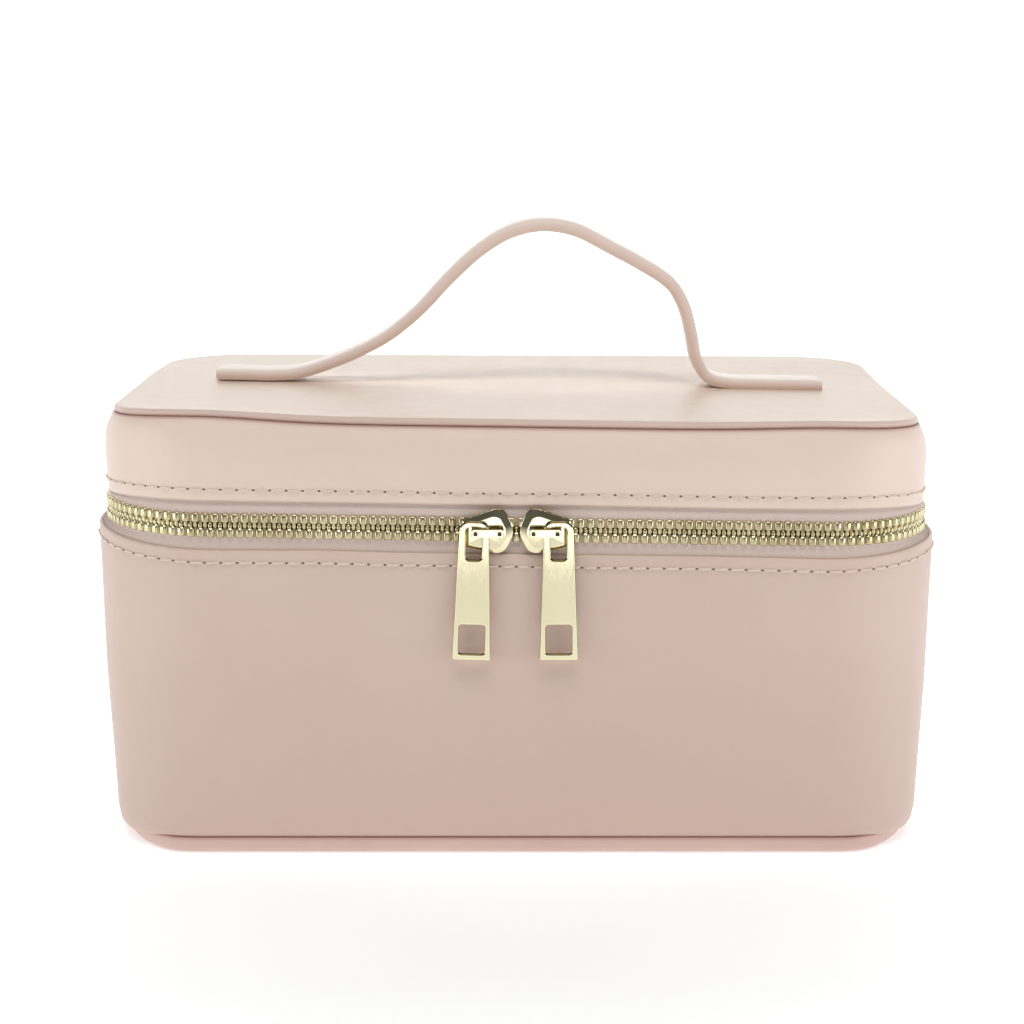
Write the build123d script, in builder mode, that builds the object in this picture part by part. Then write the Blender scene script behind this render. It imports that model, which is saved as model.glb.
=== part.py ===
"""Makeup train case: a stiffened leather box with a hinged lid, a strap handle and a two-way zip.

Units are millimetres. +Z is up, +X is to the right, -Y is the front, and the origin is the
middle of the flat underside. Each physical piece is written to parts/ as its own STEP file.
"""

import os

from build123d import *

os.makedirs("parts", exist_ok=True)

# ---------------------------------------------------------------- driving dimensions

# Outer outlines (width, depth, corner radius) at named heights.
BASE_Z, BASE_OUTLINE = 3.6, (228.0, 140.0, 25.0)
RIM_Z, RIM_OUTLINE = 86.0, (236.0, 148.0, 37.0)
LID_EDGE_Z, LID_EDGE_OUTLINE = 99.0, (229.0, 145.5, 33.5)
SHOULDER_Z, SHOULDER_OUTLINE = 114.0, (228.6, 144.8, 32.0)
SEAM_Z, SEAM_OUTLINE = 118.5, (223.6, 139.4, 25.0)
TOP_Z = 121.5

# Layers of a wall, as depths in from the outer surface.
LAYER_GAP = 0.05
LEATHER = (0.0, 1.2)
PADDING = (LEATHER[1] + LAYER_GAP, 1.8)
BOARD = (PADDING[1] + LAYER_GAP, 3.3)
LINING = (BOARD[1] + LAYER_GAP, 3.95)

# Where the inner layers stop, measured from the rim or from the lid's edge.
BODY_BOARD_DROP = 2.0
LID_BOARD_RISE = 1.5
LINING_SETBACK = 1.0

# Flat panels.
PANEL_THICKNESS = 1.2
BOTTOM_BOARD_THICKNESS = 1.9
LINING_THICKNESS = 0.6
TOP_FOAM_THICKNESS = 0.6
TOP_BOARD_THICKNESS = 1.8

# Piping: a cord wrapped in leather, sewn into the seam round the bottom and round the top.
BOTTOM_PIPING_RADIUS, BOTTOM_PIPING_CORE = 1.7, 1.05
BOTTOM_PIPING_PROUD = 0.6
TOP_PIPING_RADIUS, TOP_PIPING_CORE = 1.35, 0.8
TOP_PIPING_INSET = 0.4

# Zip: tape, two rows of teeth, end stops.
CHAIN_Z = 92.5
CHAIN_OUTLINE = (229.0, 144.8, 33.5)  # outer face of the tape at the height of the chain
TAPE_THICKNESS = 0.6
TAPE_TUCK = 9.0  # how far each tape runs in behind the leather
TAPE_BEAD = 1.6  # distance of each tape's inner edge from the chain's middle
TAPE_UPRIGHT = 4.0  # each tape stands upright within this distance of the chain's middle
TOOTH_PITCH = 2.65
TOOTH_WIDTH = 1.25
TOOTH_DEPTH = 2.5
TOOTH_NEAR, TOOTH_FAR = 0.5, 3.3  # a tooth's reach from the chain's middle
TOOTH_CORNER = 0.5
TOOTH_SLOT, TOOTH_SLOT_RELIEF = 0.7, 0.175
STOP_LENGTH = 2.6
CHAIN_END_X = 78.0  # the first and last tooth, on the back wall
TAPE_END_X = 73.5

# Hinge: a leather strip across the back wall.
HINGE_HALF_WIDTH = 72.0
HINGE_STRIP_THICKNESS = 0.55

# Stitching.
STITCH_PITCH = 4.4
STITCH_LENGTH, STITCH_WIDTH, STITCH_HEIGHT = 3.4, 0.55, 0.4
STITCH_INSET = 3.4  # below the rim and above the lid's edge

# Sliders, bridges and pulls.
SLIDER_OFFSET = 7.7  # each slider's middle from the middle of the front
CHANNEL_HALF_DEPTH = 1.45
FRONT_PLATE, BACK_PLATE = 1.3, 1.1
FRONT_PLATE_EDGE = 0.5
WINDOW = 1.9  # between the front plate and the bridge's bar
BRIDGE_BAR = 1.2
BRIDGE_LENGTH, BRIDGE_HEIGHT = 8.8, 2.5
BRIDGE_FOOT_LENGTH, BRIDGE_FOOT_HEIGHT = 1.5, 2.1
BRIDGE_FOOT_INSET = 0.1
BRIDGE_CORNER, BRIDGE_EDGE, BRIDGE_FOOT_CORNER = 0.6, 0.4, 0.3
PULL_THICKNESS = 1.5
PULL_LENGTH, PULL_TOP_WIDTH, PULL_BOTTOM_WIDTH = 36.6, 7.6, 10.1
PULL_TOP_CORNER, PULL_BOTTOM_CORNER = 2.4, 0.5
PULL_EYE, PULL_EYE_CORNER = (4.3, 8.6), 0.9
PULL_WINDOW, PULL_WINDOW_CORNER = (7.0, 7.8), 0.8
PULL_BAR = 1.6
EYE_CLEARANCE = 0.3
SLIDER_LENGTH = 13.6
TAIL_HALF_HEIGHT, TAIL_CORNER = 3.8, 1.4
LOBE_RADIUS, LOBE_OFFSET = 3.3, (2.4, 2.8)  # from the slider's middle, towards the front's middle
MOUTH_RADIUS, MOUTH_HALF_GAP = 2.4, 1.3
WEB_OFFSET, WEB_LENGTH, WEB_THICKNESS = 3.9, 3.2, 0.7
LIP_LENGTH, LIP_HEIGHT, LIP_GAP, LIP_DROP = 7.4, 1.0, 0.7, 0.25

# Handle: a leather strap, arched unevenly as a soft strap stands.
HANDLE_Y = 3.0
STRAP_THICKNESS, STRAP_WIDTH = 3.2, 13.0
FLEX_RADIUS = 11.0  # the strap bends inside this distance of the tilt axis
FLEX_GAP = 0.15
CORE_THICKNESS, CORE_WIDTH = 1.4, 9.0
CORE_START = 14.0  # the core starts this far from the tilt axis
TAB_STITCHES, TAB_STITCH_PITCH, TAB_STITCH_LENGTH = 4, 4.2, 3.2
TAB_STITCH_INSET = 1.6
TILT_Z = TOP_Z + STRAP_THICKNESS / 2
STRAP_CORNERS = [
    (-89.0, TILT_Z),
    (-60.7, TILT_Z),
    (-34.8, 135.8),
    (-5.5, 169.2),
    (14.4, 169.2),
    (49.2, 151.1),
    (55.9, TILT_Z),
    (93.0, TILT_Z),
]
STRAP_RADII = [40.0, 36.0, 22.0, 30.0, 9.0, 7.0]

# ---------------------------------------------------------------- shared geometry

BODY_LEVELS = [(BASE_Z, BASE_OUTLINE), (RIM_Z, RIM_OUTLINE)]
LID_LEVELS = [
    (LID_EDGE_Z, LID_EDGE_OUTLINE),
    (SHOULDER_Z, SHOULDER_OUTLINE),
    (SEAM_Z, SEAM_OUTLINE),
]


def inset(outline, depth):
    """The outline moved in by depth on every side."""
    width, length, radius = outline
    return (width - 2 * depth, length - 2 * depth, radius - depth)


def outline_at(levels, z):
    """The outer outline at height z, straight between the two levels on either side of it."""
    for (z0, low), (z1, high) in zip(levels, levels[1:]):
        if z <= z1 or (z1, high) == levels[-1]:
            share = (z - z0) / (z1 - z0)
            return tuple(a + (b - a) * share for a, b in zip(low, high))


def sections(levels, z0, z1, depth):
    """(height, outline) pairs from z0 to z1 at a depth in from the outer surface."""
    heights = [z0] + [z for z, _ in levels if z0 < z < z1] + [z1]
    return [(z, inset(outline_at(levels, z), depth)) for z in heights]


def loft_sections(stack, mode=Mode.ADD):
    """Lofts through rounded rectangles, inside the BuildPart block that calls it."""
    outlines = []
    for z, outline in stack:
        with BuildSketch(Plane.XY.offset(z)) as level:
            RectangleRounded(*outline)
        outlines.append(level.sketch)
    loft(outlines, ruled=True, mode=mode)


def write(piece, label):
    """Labels a finished piece and writes its STEP file."""
    piece.part.label = label
    export_step(piece.part, f"parts/{label}.step")


def wall_layer(levels, z0, z1, layer):
    """One layer of a wall that runs all the way round."""
    with BuildPart() as ring:
        loft_sections(sections(levels, z0, z1, layer[0]))
        loft_sections(sections(levels, z0, z1, layer[1]), mode=Mode.SUBTRACT)
    return ring


def flat_panel(z, thickness, outline):
    """A flat sheet whose underside is at height z."""
    with BuildPart() as panel:
        with BuildSketch(Plane.XY.offset(z)):
            RectangleRounded(*outline)
        extrude(amount=thickness)
    return panel


def piping_loop(z, outline, radius, bore=0.0):
    """A round cord that runs all the way round an outline, hollow if it has a bore."""
    width, length, corner = outline
    with BuildPart() as cord:
        with BuildLine(Plane.XY.offset(z)) as loop:
            FilletPolyline(
                (-width / 2, -length / 2),
                (width / 2, -length / 2),
                (width / 2, length / 2),
                (-width / 2, length / 2),
                radius=corner,
                close=True,
            )
        start = Plane(origin=loop.line @ 0, z_dir=loop.line % 0)
        with BuildSketch(start):
            Circle(radius)
            if bore:
                Circle(bore, mode=Mode.SUBTRACT)
        sweep(path=loop.line)
    return cord


def lining_cup(levels, z_open, z_floor):
    """A lining sewn as a cup, whose floor is at z_floor and whose mouth is at z_open."""
    low, high = sorted((z_open, z_floor))
    inward = LINING_THICKNESS if z_floor < z_open else -LINING_THICKNESS
    cavity = sorted((z_open, z_floor + inward))
    with BuildPart() as cup:
        loft_sections(sections(levels, low, high, LINING[0]))
        loft_sections(sections(levels, *cavity, LINING[1]), mode=Mode.SUBTRACT)
    return cup


# ---------------------------------------------------------------- bottom

bottom_cord_outline = inset(BASE_OUTLINE, BOTTOM_PIPING_RADIUS - BOTTOM_PIPING_PROUD)
bottom_cord_z = BASE_Z - BOTTOM_PIPING_RADIUS
bottom_outline = inset(bottom_cord_outline, BOTTOM_PIPING_RADIUS + LAYER_GAP)
bottom_board_z = PANEL_THICKNESS + LAYER_GAP
body_lining_z = bottom_board_z + BOTTOM_BOARD_THICKNESS + LAYER_GAP

write(flat_panel(0, PANEL_THICKNESS, bottom_outline), "bottom_panel")
write(flat_panel(bottom_board_z, BOTTOM_BOARD_THICKNESS, bottom_outline), "bottom_board")
write(
    piping_loop(bottom_cord_z, bottom_cord_outline, BOTTOM_PIPING_RADIUS, BOTTOM_PIPING_CORE),
    "bottom_piping_cover",
)
write(
    piping_loop(bottom_cord_z, bottom_cord_outline, BOTTOM_PIPING_CORE - LAYER_GAP),
    "bottom_piping_core",
)

# ---------------------------------------------------------------- body walls

wall_start = BASE_Z + LAYER_GAP
write(wall_layer(BODY_LEVELS, wall_start, RIM_Z, LEATHER), "body_wall")
write(
    wall_layer(BODY_LEVELS, wall_start, RIM_Z - TAPE_TUCK - LAYER_GAP, PADDING),
    "body_padding",
)
write(wall_layer(BODY_LEVELS, wall_start, RIM_Z - BODY_BOARD_DROP, BOARD), "body_board")
write(lining_cup(BODY_LEVELS, RIM_Z - LINING_SETBACK, body_lining_z), "body_lining")

# ---------------------------------------------------------------- lid walls and top

foam_z = TOP_Z - PANEL_THICKNESS - LAYER_GAP - TOP_FOAM_THICKNESS
top_board_z = foam_z - LAYER_GAP - TOP_BOARD_THICKNESS
lid_lining_z = top_board_z - LAYER_GAP

top_cord_outline = inset(SEAM_OUTLINE, TOP_PIPING_INSET + TOP_PIPING_RADIUS)
top_cord_z = SEAM_Z + LAYER_GAP + TOP_PIPING_RADIUS
top_outline = inset(top_cord_outline, TOP_PIPING_RADIUS + LAYER_GAP)
top_board_outline = inset(SEAM_OUTLINE, BOARD[1] + LAYER_GAP)

write(wall_layer(LID_LEVELS, LID_EDGE_Z, SEAM_Z, LEATHER), "lid_wall")
write(
    wall_layer(LID_LEVELS, LID_EDGE_Z + TAPE_TUCK + LAYER_GAP, SEAM_Z, PADDING),
    "lid_padding",
)
write(wall_layer(LID_LEVELS, LID_EDGE_Z + LID_BOARD_RISE, SEAM_Z, BOARD), "lid_wall_board")
write(lining_cup(LID_LEVELS, LID_EDGE_Z + LINING_SETBACK, lid_lining_z), "lid_lining")
write(
    flat_panel(top_board_z, TOP_BOARD_THICKNESS, top_board_outline),
    "lid_top_board",
)
write(flat_panel(foam_z, TOP_FOAM_THICKNESS, top_outline), "lid_top_foam")
write(flat_panel(TOP_Z - PANEL_THICKNESS, PANEL_THICKNESS, top_outline), "lid_top_panel")
write(
    piping_loop(top_cord_z, top_cord_outline, TOP_PIPING_RADIUS, TOP_PIPING_CORE),
    "lid_piping_cover",
)
write(
    piping_loop(top_cord_z, top_cord_outline, TOP_PIPING_CORE - LAYER_GAP),
    "lid_piping_core",
)

# ---------------------------------------------------------------- zip tapes


def tape(stack):
    """One zip tape: a thin wall through the stack of outlines, open across the back."""
    with BuildPart() as strip:
        loft_sections(stack)
        inner = [(z, inset(outline, TAPE_THICKNESS)) for z, outline in stack]
        loft_sections(inner, mode=Mode.SUBTRACT)
        with Locations((0, CHAIN_OUTLINE[1] / 2, CHAIN_Z)):
            Box(2 * TAPE_END_X, CHAIN_OUTLINE[1] / 2, 6 * TAPE_TUCK, mode=Mode.SUBTRACT)
    return strip


tuck_depth = LEATHER[1] + LAYER_GAP
lower_tuck = sections(BODY_LEVELS, RIM_Z - TAPE_TUCK, RIM_Z, tuck_depth)
upper_tuck = sections(LID_LEVELS, LID_EDGE_Z, LID_EDGE_Z + TAPE_TUCK, tuck_depth)
lower_edge = [(CHAIN_Z - reach, CHAIN_OUTLINE) for reach in (TAPE_UPRIGHT, TAPE_BEAD)]
upper_edge = [(CHAIN_Z + reach, CHAIN_OUTLINE) for reach in (TAPE_BEAD, TAPE_UPRIGHT)]
write(tape(lower_tuck + lower_edge), "zip_tape_lower")
write(tape(upper_edge + upper_tuck), "zip_tape_upper")

# ---------------------------------------------------------------- zip teeth and stops

chain_width, chain_length, chain_corner = inset(CHAIN_OUTLINE, TAPE_THICKNESS / 2)
with BuildLine(Plane.XY.offset(CHAIN_Z)) as chain:
    FilletPolyline(
        (-CHAIN_END_X, chain_length / 2),
        (-chain_width / 2, chain_length / 2),
        (-chain_width / 2, -chain_length / 2),
        (chain_width / 2, -chain_length / 2),
        (chain_width / 2, chain_length / 2),
        (CHAIN_END_X, chain_length / 2),
        radius=chain_corner,
    )
chain_path = chain.wire()
chain_run = chain_path.length


def chain_plane(distance):
    """A plane across the chain at a distance along it: X points out of the case and Y up."""
    share = distance / chain_run
    tangent = chain_path.tangent_at(share)
    return Plane(
        origin=chain_path.position_at(share),
        x_dir=tangent.cross(Vector(0, 0, 1)),
        z_dir=-tangent,
    )


def clamped_piece(length, side):
    """A metal piece clamped on a tape's bead, at the chain's middle, with its length along Z.

    Side is 1 for the lid's tape and -1 for the body's.
    """
    reach = TOOTH_FAR - TOOTH_NEAR
    slot_reach = TOOTH_FAR - TAPE_BEAD + TOOTH_SLOT_RELIEF
    with BuildPart() as piece:
        with BuildSketch():
            with Locations((0, side * (TOOTH_NEAR + TOOTH_FAR) / 2)):
                RectangleRounded(TOOTH_DEPTH, reach, TOOTH_CORNER)
            with Locations((0, side * (TOOTH_FAR - slot_reach / 2))):
                Rectangle(TOOTH_SLOT, slot_reach, mode=Mode.SUBTRACT)
        extrude(amount=length / 2, both=True)
    return piece.part


def clamped_row(distances, length, side):
    """Clamped pieces at distances along the chain."""
    with BuildPart() as row:
        with Locations(*[chain_plane(distance) for distance in distances]):
            add(clamped_piece(length, side), clean=False)
    return row


tooth_count = int(chain_run / TOOTH_PITCH)
first_tooth = (chain_run - tooth_count * TOOTH_PITCH) / 2
lower_teeth = [first_tooth + i * TOOTH_PITCH for i in range(tooth_count)]
upper_teeth = [distance + TOOTH_PITCH / 2 for distance in lower_teeth]
write(clamped_row(lower_teeth, TOOTH_WIDTH, -1), "zip_teeth_lower")
write(clamped_row(upper_teeth, TOOTH_WIDTH, 1), "zip_teeth_upper")


def end_stops(side):
    """A stop past each end of one row of teeth, on the back wall's straight stretch."""
    stop_x = (CHAIN_END_X + TAPE_END_X) / 2
    y = chain_length / 2
    with BuildPart() as stops:
        with Locations(
            Plane(origin=(-stop_x, y, CHAIN_Z), x_dir=(0, 1, 0), z_dir=(1, 0, 0)),
            Plane(origin=(stop_x, y, CHAIN_Z), x_dir=(0, 1, 0), z_dir=(1, 0, 0)),
        ):
            add(clamped_piece(STOP_LENGTH, side))
    return stops


write(end_stops(-1), "zip_stops_lower")
write(end_stops(1), "zip_stops_upper")

# ---------------------------------------------------------------- hinge strip

# The strip lies where the tapes would be, across the back wall between the tapes' ends.
hinge_outer = [(outline[1] / 2, z) for z, outline in lower_tuck + lower_edge + upper_edge + upper_tuck]
hinge_inner = [(y - HINGE_STRIP_THICKNESS, z) for y, z in reversed(hinge_outer)]
with BuildPart() as hinge_strip:
    with BuildSketch(Plane.YZ.offset(-HINGE_HALF_WIDTH)):
        with BuildLine():
            Polyline(*hinge_outer, *hinge_inner, close=True)
        make_face()
    extrude(amount=2 * HINGE_HALF_WIDTH)
write(hinge_strip, "hinge_strip")

# ---------------------------------------------------------------- stitching


def stitch_row(levels, z):
    """Thread lying on a wall's outer face, one short length for each stitch, all the way round."""
    width, length, corner = outline_at(levels, z)
    rise = 1.0
    lean = (outline_at(levels, z + rise)[0] - width) / 2 / rise
    with BuildLine(Plane.XY.offset(z)) as seam:
        FilletPolyline(
            (-width / 2, length / 2),
            (-width / 2, -length / 2),
            (width / 2, -length / 2),
            (width / 2, length / 2),
            radius=corner,
            close=True,
        )
    path = seam.wire()
    count = round(path.length / STITCH_PITCH)
    stand_off = LAYER_GAP + STITCH_HEIGHT / 2
    places = []
    for i in range(count):
        tangent = path.tangent_at(i / count)
        out = tangent.cross(Vector(0, 0, 1))
        normal = Vector(out.X, out.Y, -lean).normalized()
        middle = path.position_at(i / count) + normal * stand_off
        places.append(Plane(origin=middle, x_dir=tangent, z_dir=normal))
    with BuildPart() as row:
        with Locations(*places):
            Box(STITCH_LENGTH, STITCH_WIDTH, STITCH_HEIGHT)
    return row


write(stitch_row(BODY_LEVELS, RIM_Z - STITCH_INSET), "body_rim_stitching")
write(stitch_row(LID_LEVELS, LID_EDGE_Z + STITCH_INSET), "lid_edge_stitching")

# ---------------------------------------------------------------- sliders and bridges

chain_front_y = -chain_length / 2
front_plate_y = chain_front_y - CHANNEL_HALF_DEPTH
back_plate_y = chain_front_y + CHANNEL_HALF_DEPTH
window_y = front_plate_y - FRONT_PLATE
foot_offset = (BRIDGE_LENGTH - BRIDGE_FOOT_LENGTH) / 2 - BRIDGE_FOOT_INSET


def slider_outline(side):
    """Plan of a slider's plate: a tapered tail pointing out, and two round lobes at the centre end."""
    with BuildSketch() as plan:
        for up in (-1, 1):
            with Locations((-side * LOBE_OFFSET[0], up * LOBE_OFFSET[1])):
                Circle(LOBE_RADIUS)
            tail_x = SLIDER_LENGTH / 2 - TAIL_CORNER
            with Locations((side * tail_x, up * (TAIL_HALF_HEIGHT - TAIL_CORNER))):
                Circle(TAIL_CORNER)
            with Locations((-side * (SLIDER_LENGTH / 2 - MOUTH_RADIUS), up * MOUTH_HALF_GAP)):
                Circle(MOUTH_RADIUS)
        make_hull()
    return plan.sketch


def plate(x, y, thickness, plan):
    """A plate in the front's plane, from y towards the back by thickness, middle at (x, chain)."""
    front = Plane(origin=(x, y + thickness, CHAIN_Z), x_dir=(1, 0, 0), z_dir=(0, -1, 0))
    extrude(to_extrude=plan.moved(front.location), amount=thickness)


def slider(side):
    """A slider: front and back plates, the web that joins them, and lips over the lower tape."""
    x = side * SLIDER_OFFSET
    plan = slider_outline(side)
    with BuildPart() as body:
        plate(x, window_y, FRONT_PLATE, plan)
        fillet(body.edges().filter_by(Plane.XZ).group_by(Axis.Y)[0], radius=FRONT_PLATE_EDGE)
        plate(x, back_plate_y, BACK_PLATE, plan)
        with Locations((x - side * WEB_OFFSET, chain_front_y, CHAIN_Z)):
            Box(WEB_LENGTH, 2 * CHANNEL_HALF_DEPTH, WEB_THICKNESS)
        lip_depth = CHANNEL_HALF_DEPTH - LIP_GAP
        lip_z = CHAIN_Z - TOOTH_FAR - LIP_DROP - LIP_HEIGHT / 2
        for way in (-1, 1):
            lip_y = chain_front_y + way * (LIP_GAP + lip_depth / 2)
            with Locations((x, lip_y, lip_z)):
                Box(LIP_LENGTH, lip_depth, LIP_HEIGHT)
    return body


def bridge(side):
    """The staked loop on a slider's front plate that the pull hangs from."""
    x = side * SLIDER_OFFSET
    with BuildPart() as loop:
        front = Plane(origin=(x, window_y, CHAIN_Z), x_dir=(1, 0, 0), z_dir=(0, -1, 0))
        with BuildSketch(front):
            for way in (-1, 1):
                with Locations((way * foot_offset, 0)):
                    RectangleRounded(BRIDGE_FOOT_LENGTH, BRIDGE_FOOT_HEIGHT, BRIDGE_FOOT_CORNER)
        extrude(amount=WINDOW)
        with BuildSketch(front.offset(WINDOW)):
            RectangleRounded(BRIDGE_LENGTH, BRIDGE_HEIGHT, BRIDGE_CORNER)
        extrude(amount=BRIDGE_BAR)
        fillet(loop.edges().filter_by(Plane.XZ).group_by(Axis.Y)[0], radius=BRIDGE_EDGE)
    return loop


for name, side in (("left", -1), ("right", 1)):
    write(slider(side), f"slider_{name}")
    write(bridge(side), f"bridge_{name}")

# ---------------------------------------------------------------- pulls

eye_top_z = BRIDGE_FOOT_HEIGHT / 2 + EYE_CLEARANCE
pull_top_z = eye_top_z + PULL_BAR


def pull(side):
    """A long tapered tab with an eye round the bridge's outer foot and a square window below."""
    x = side * (SLIDER_OFFSET + foot_offset)
    front = Plane(
        origin=(x, window_y - (WINDOW - PULL_THICKNESS) / 2, CHAIN_Z),
        x_dir=(1, 0, 0),
        z_dir=(0, -1, 0),
    )
    with BuildPart() as tab:
        with BuildSketch(front):
            with BuildLine():
                Polyline(
                    (-PULL_TOP_WIDTH / 2, pull_top_z),
                    (PULL_TOP_WIDTH / 2, pull_top_z),
                    (PULL_BOTTOM_WIDTH / 2, pull_top_z - PULL_LENGTH),
                    (-PULL_BOTTOM_WIDTH / 2, pull_top_z - PULL_LENGTH),
                    close=True,
                )
            outline = make_face()
            fillet(outline.vertices().group_by(Axis.Y)[-1], radius=PULL_TOP_CORNER)
            fillet(outline.vertices().group_by(Axis.Y)[0], radius=PULL_BOTTOM_CORNER)
            with Locations((0, eye_top_z - PULL_EYE[1] / 2)):
                RectangleRounded(*PULL_EYE, PULL_EYE_CORNER, mode=Mode.SUBTRACT)
            with Locations((0, pull_top_z - PULL_LENGTH + PULL_BAR + PULL_WINDOW[1] / 2)):
                RectangleRounded(*PULL_WINDOW, PULL_WINDOW_CORNER, mode=Mode.SUBTRACT)
        extrude(amount=PULL_THICKNESS)
    return tab


for name, side in (("left", -1), ("right", 1)):
    write(pull(side), f"pull_{name}")

# ---------------------------------------------------------------- handle

across = Plane(origin=(0, HANDLE_Y, 0), x_dir=(1, 0, 0), z_dir=(0, -1, 0))


def strap(thickness, width):
    """A flat strap that follows the handle's line, centred on the handle's plane."""
    with BuildPart() as band:
        with BuildSketch(across):
            with BuildLine():
                FilletPolyline(*STRAP_CORNERS, radius=STRAP_RADII)
                offset(amount=thickness / 2, side=Side.BOTH, kind=Kind.INTERSECTION)
            make_face()
        extrude(amount=width / 2, both=True)
    return band


def tilt_cylinder(radius):
    """A long cylinder about the handle's tilt axis."""
    with BuildPart() as cylinder:
        with BuildSketch(Plane.YZ):
            with Locations((HANDLE_Y, TILT_Z)):
                Circle(radius)
        extrude(amount=BASE_OUTLINE[0], both=True)
    return cylinder.part


whole_strap = strap(STRAP_THICKNESS, STRAP_WIDTH)
core_band = strap(CORE_THICKNESS, CORE_WIDTH)
core_pocket = strap(CORE_THICKNESS + 2 * LAYER_GAP, CORE_WIDTH + 2 * LAYER_GAP)

with BuildPart() as handle_core:
    add(core_band.part)
    add(tilt_cylinder(CORE_START), mode=Mode.SUBTRACT)

with BuildPart() as pocket:
    add(core_pocket.part)
    add(tilt_cylinder(CORE_START - LAYER_GAP), mode=Mode.SUBTRACT)

with BuildPart() as handle_grip:
    add(whole_strap.part)
    add(tilt_cylinder(FLEX_RADIUS + FLEX_GAP), mode=Mode.SUBTRACT)
    add(pocket.part, mode=Mode.SUBTRACT)

write(handle_grip, "handle_grip")
write(handle_core, "handle_core")

half_length = BASE_OUTLINE[0] / 2
for name, side in (("left", -1), ("right", 1)):
    with BuildPart() as end:
        add(whole_strap.part)
        add(tilt_cylinder(FLEX_RADIUS - FLEX_GAP), mode=Mode.INTERSECT)
        with Locations((side * half_length / 2, HANDLE_Y, TILT_Z)):
            Box(half_length, STRAP_WIDTH, 2 * FLEX_RADIUS, mode=Mode.INTERSECT)
    write(end, f"handle_end_{name}")


def tab_stitches():
    """Two lines of stitches and a cross line on each sewn end of the strap."""
    z = TOP_Z + STRAP_THICKNESS + LAYER_GAP + STITCH_HEIGHT / 2
    line_y = STRAP_WIDTH / 2 - TAB_STITCH_INSET
    along, across_end = [], []
    for end_x, inward in ((STRAP_CORNERS[0][0], 1), (STRAP_CORNERS[-1][0], -1)):
        for way in (-1, 1):
            across_end.append((end_x + inward * TAB_STITCH_INSET, HANDLE_Y + way * line_y / 2, z))
            for i in range(TAB_STITCHES):
                x = end_x + inward * (TAB_STITCH_INSET + (i + 0.5) * TAB_STITCH_PITCH)
                along.append((x, HANDLE_Y + way * line_y, z))
    with BuildPart() as stitches:
        with Locations(*along):
            Box(TAB_STITCH_LENGTH, STITCH_WIDTH, STITCH_HEIGHT)
        with Locations(*across_end):
            Box(STITCH_WIDTH, TAB_STITCH_LENGTH, STITCH_HEIGHT)
    return stitches


write(tab_stitches(), "handle_stitching")

print("pieces written:", len(os.listdir("parts")), "chain length:", round(chain_run, 1))
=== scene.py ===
"""Looks of the makeup train case: soft leather skins, stitching, zip, handle, camera and light.

Shapes are worked out in millimetres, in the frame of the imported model, and turned into metres
when a mesh is made. +Z is up, +X is to the right and -Y is the front.
"""

import math

import bpy
import numpy as np
from mathutils import Matrix, Vector, noise


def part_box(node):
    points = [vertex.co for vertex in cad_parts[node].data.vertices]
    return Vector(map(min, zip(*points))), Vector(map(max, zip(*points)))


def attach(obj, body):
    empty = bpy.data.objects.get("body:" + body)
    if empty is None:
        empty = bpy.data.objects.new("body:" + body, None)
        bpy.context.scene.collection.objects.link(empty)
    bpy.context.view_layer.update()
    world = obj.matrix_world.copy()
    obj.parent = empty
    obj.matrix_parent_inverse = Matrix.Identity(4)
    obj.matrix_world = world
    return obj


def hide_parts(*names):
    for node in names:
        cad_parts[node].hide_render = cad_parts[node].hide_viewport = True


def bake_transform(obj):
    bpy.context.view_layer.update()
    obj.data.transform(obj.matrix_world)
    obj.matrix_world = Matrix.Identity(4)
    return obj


MM = 0.001

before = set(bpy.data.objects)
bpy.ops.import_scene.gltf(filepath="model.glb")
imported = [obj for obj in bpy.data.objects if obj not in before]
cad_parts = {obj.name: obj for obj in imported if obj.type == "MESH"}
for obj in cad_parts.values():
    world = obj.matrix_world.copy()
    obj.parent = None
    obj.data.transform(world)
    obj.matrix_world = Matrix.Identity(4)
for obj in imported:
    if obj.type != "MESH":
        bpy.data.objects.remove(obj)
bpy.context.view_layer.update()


def box_mm(node):
    """Lowest and highest corner of a CAD node, in millimetres."""
    low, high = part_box(node)
    return np.array(low) / MM, np.array(high) / MM


# ---------------------------------------------------------------- sizes read from the frame

wall_low, wall_high = box_mm("body_wall")
lid_low, lid_high = box_mm("lid_wall")
base_low, base_high = box_mm("bottom_piping_cover")
seam_low, seam_high = box_mm("lid_piping_cover")
_, top_high = box_mm("lid_top_panel")
tape_low, tape_high = box_mm("zip_tape_upper")
teeth_low, teeth_high = box_mm("zip_teeth_upper")
_, lower_teeth_high = box_mm("zip_teeth_lower")
_, stops_high = box_mm("zip_stops_upper")
handle_low, handle_high = box_mm("handle_grip")

BASE_Z, RIM_Z = wall_low[2], wall_high[2]
FOOT_Z = BASE_Z + 1.0  # where the soft wall meets the base
EDGE_Z, TOP_Z = lid_low[2], top_high[2]
SEAM_Z = lid_high[2] + 0.9
CHAIN_Z = (teeth_low[2] + lower_teeth_high[2]) / 2
TOOTH_FAR = teeth_high[2] - CHAIN_Z
TOOTH_DEPTH = 2.5
PIPING_PROUD, PIPING_INSET = 0.6, 0.4
LEATHER, TAPE, LINING_OUT, LINING_IN = 1.2, 0.6, 3.35, 3.95
TUCK = 1.25  # the tapes run in this far behind the leather's outer face
HALF_WIDTH, HALF_DEPTH = 118.0, 74.0  # about half the rim's size in plan
BOW = 0.9  # how far the body's wall swells at half its height
FOOT_ROUND, FRONT_TUCK, SIDE_TUCK = 4.5, 0.3, 3.2  # height of the foot's round, and how far it turns in
SAG, SAG_HEIGHT = 2.6, 16.0  # drop of the foot at the sides, and the height over which it fades
LID_LEAN = 2.0  # how far the middle of the lid's front leans in at the top
LIFT_LEFT, LIFT_RIGHT = 1.9, 1.2  # rise of the lid's front near its ends
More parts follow.
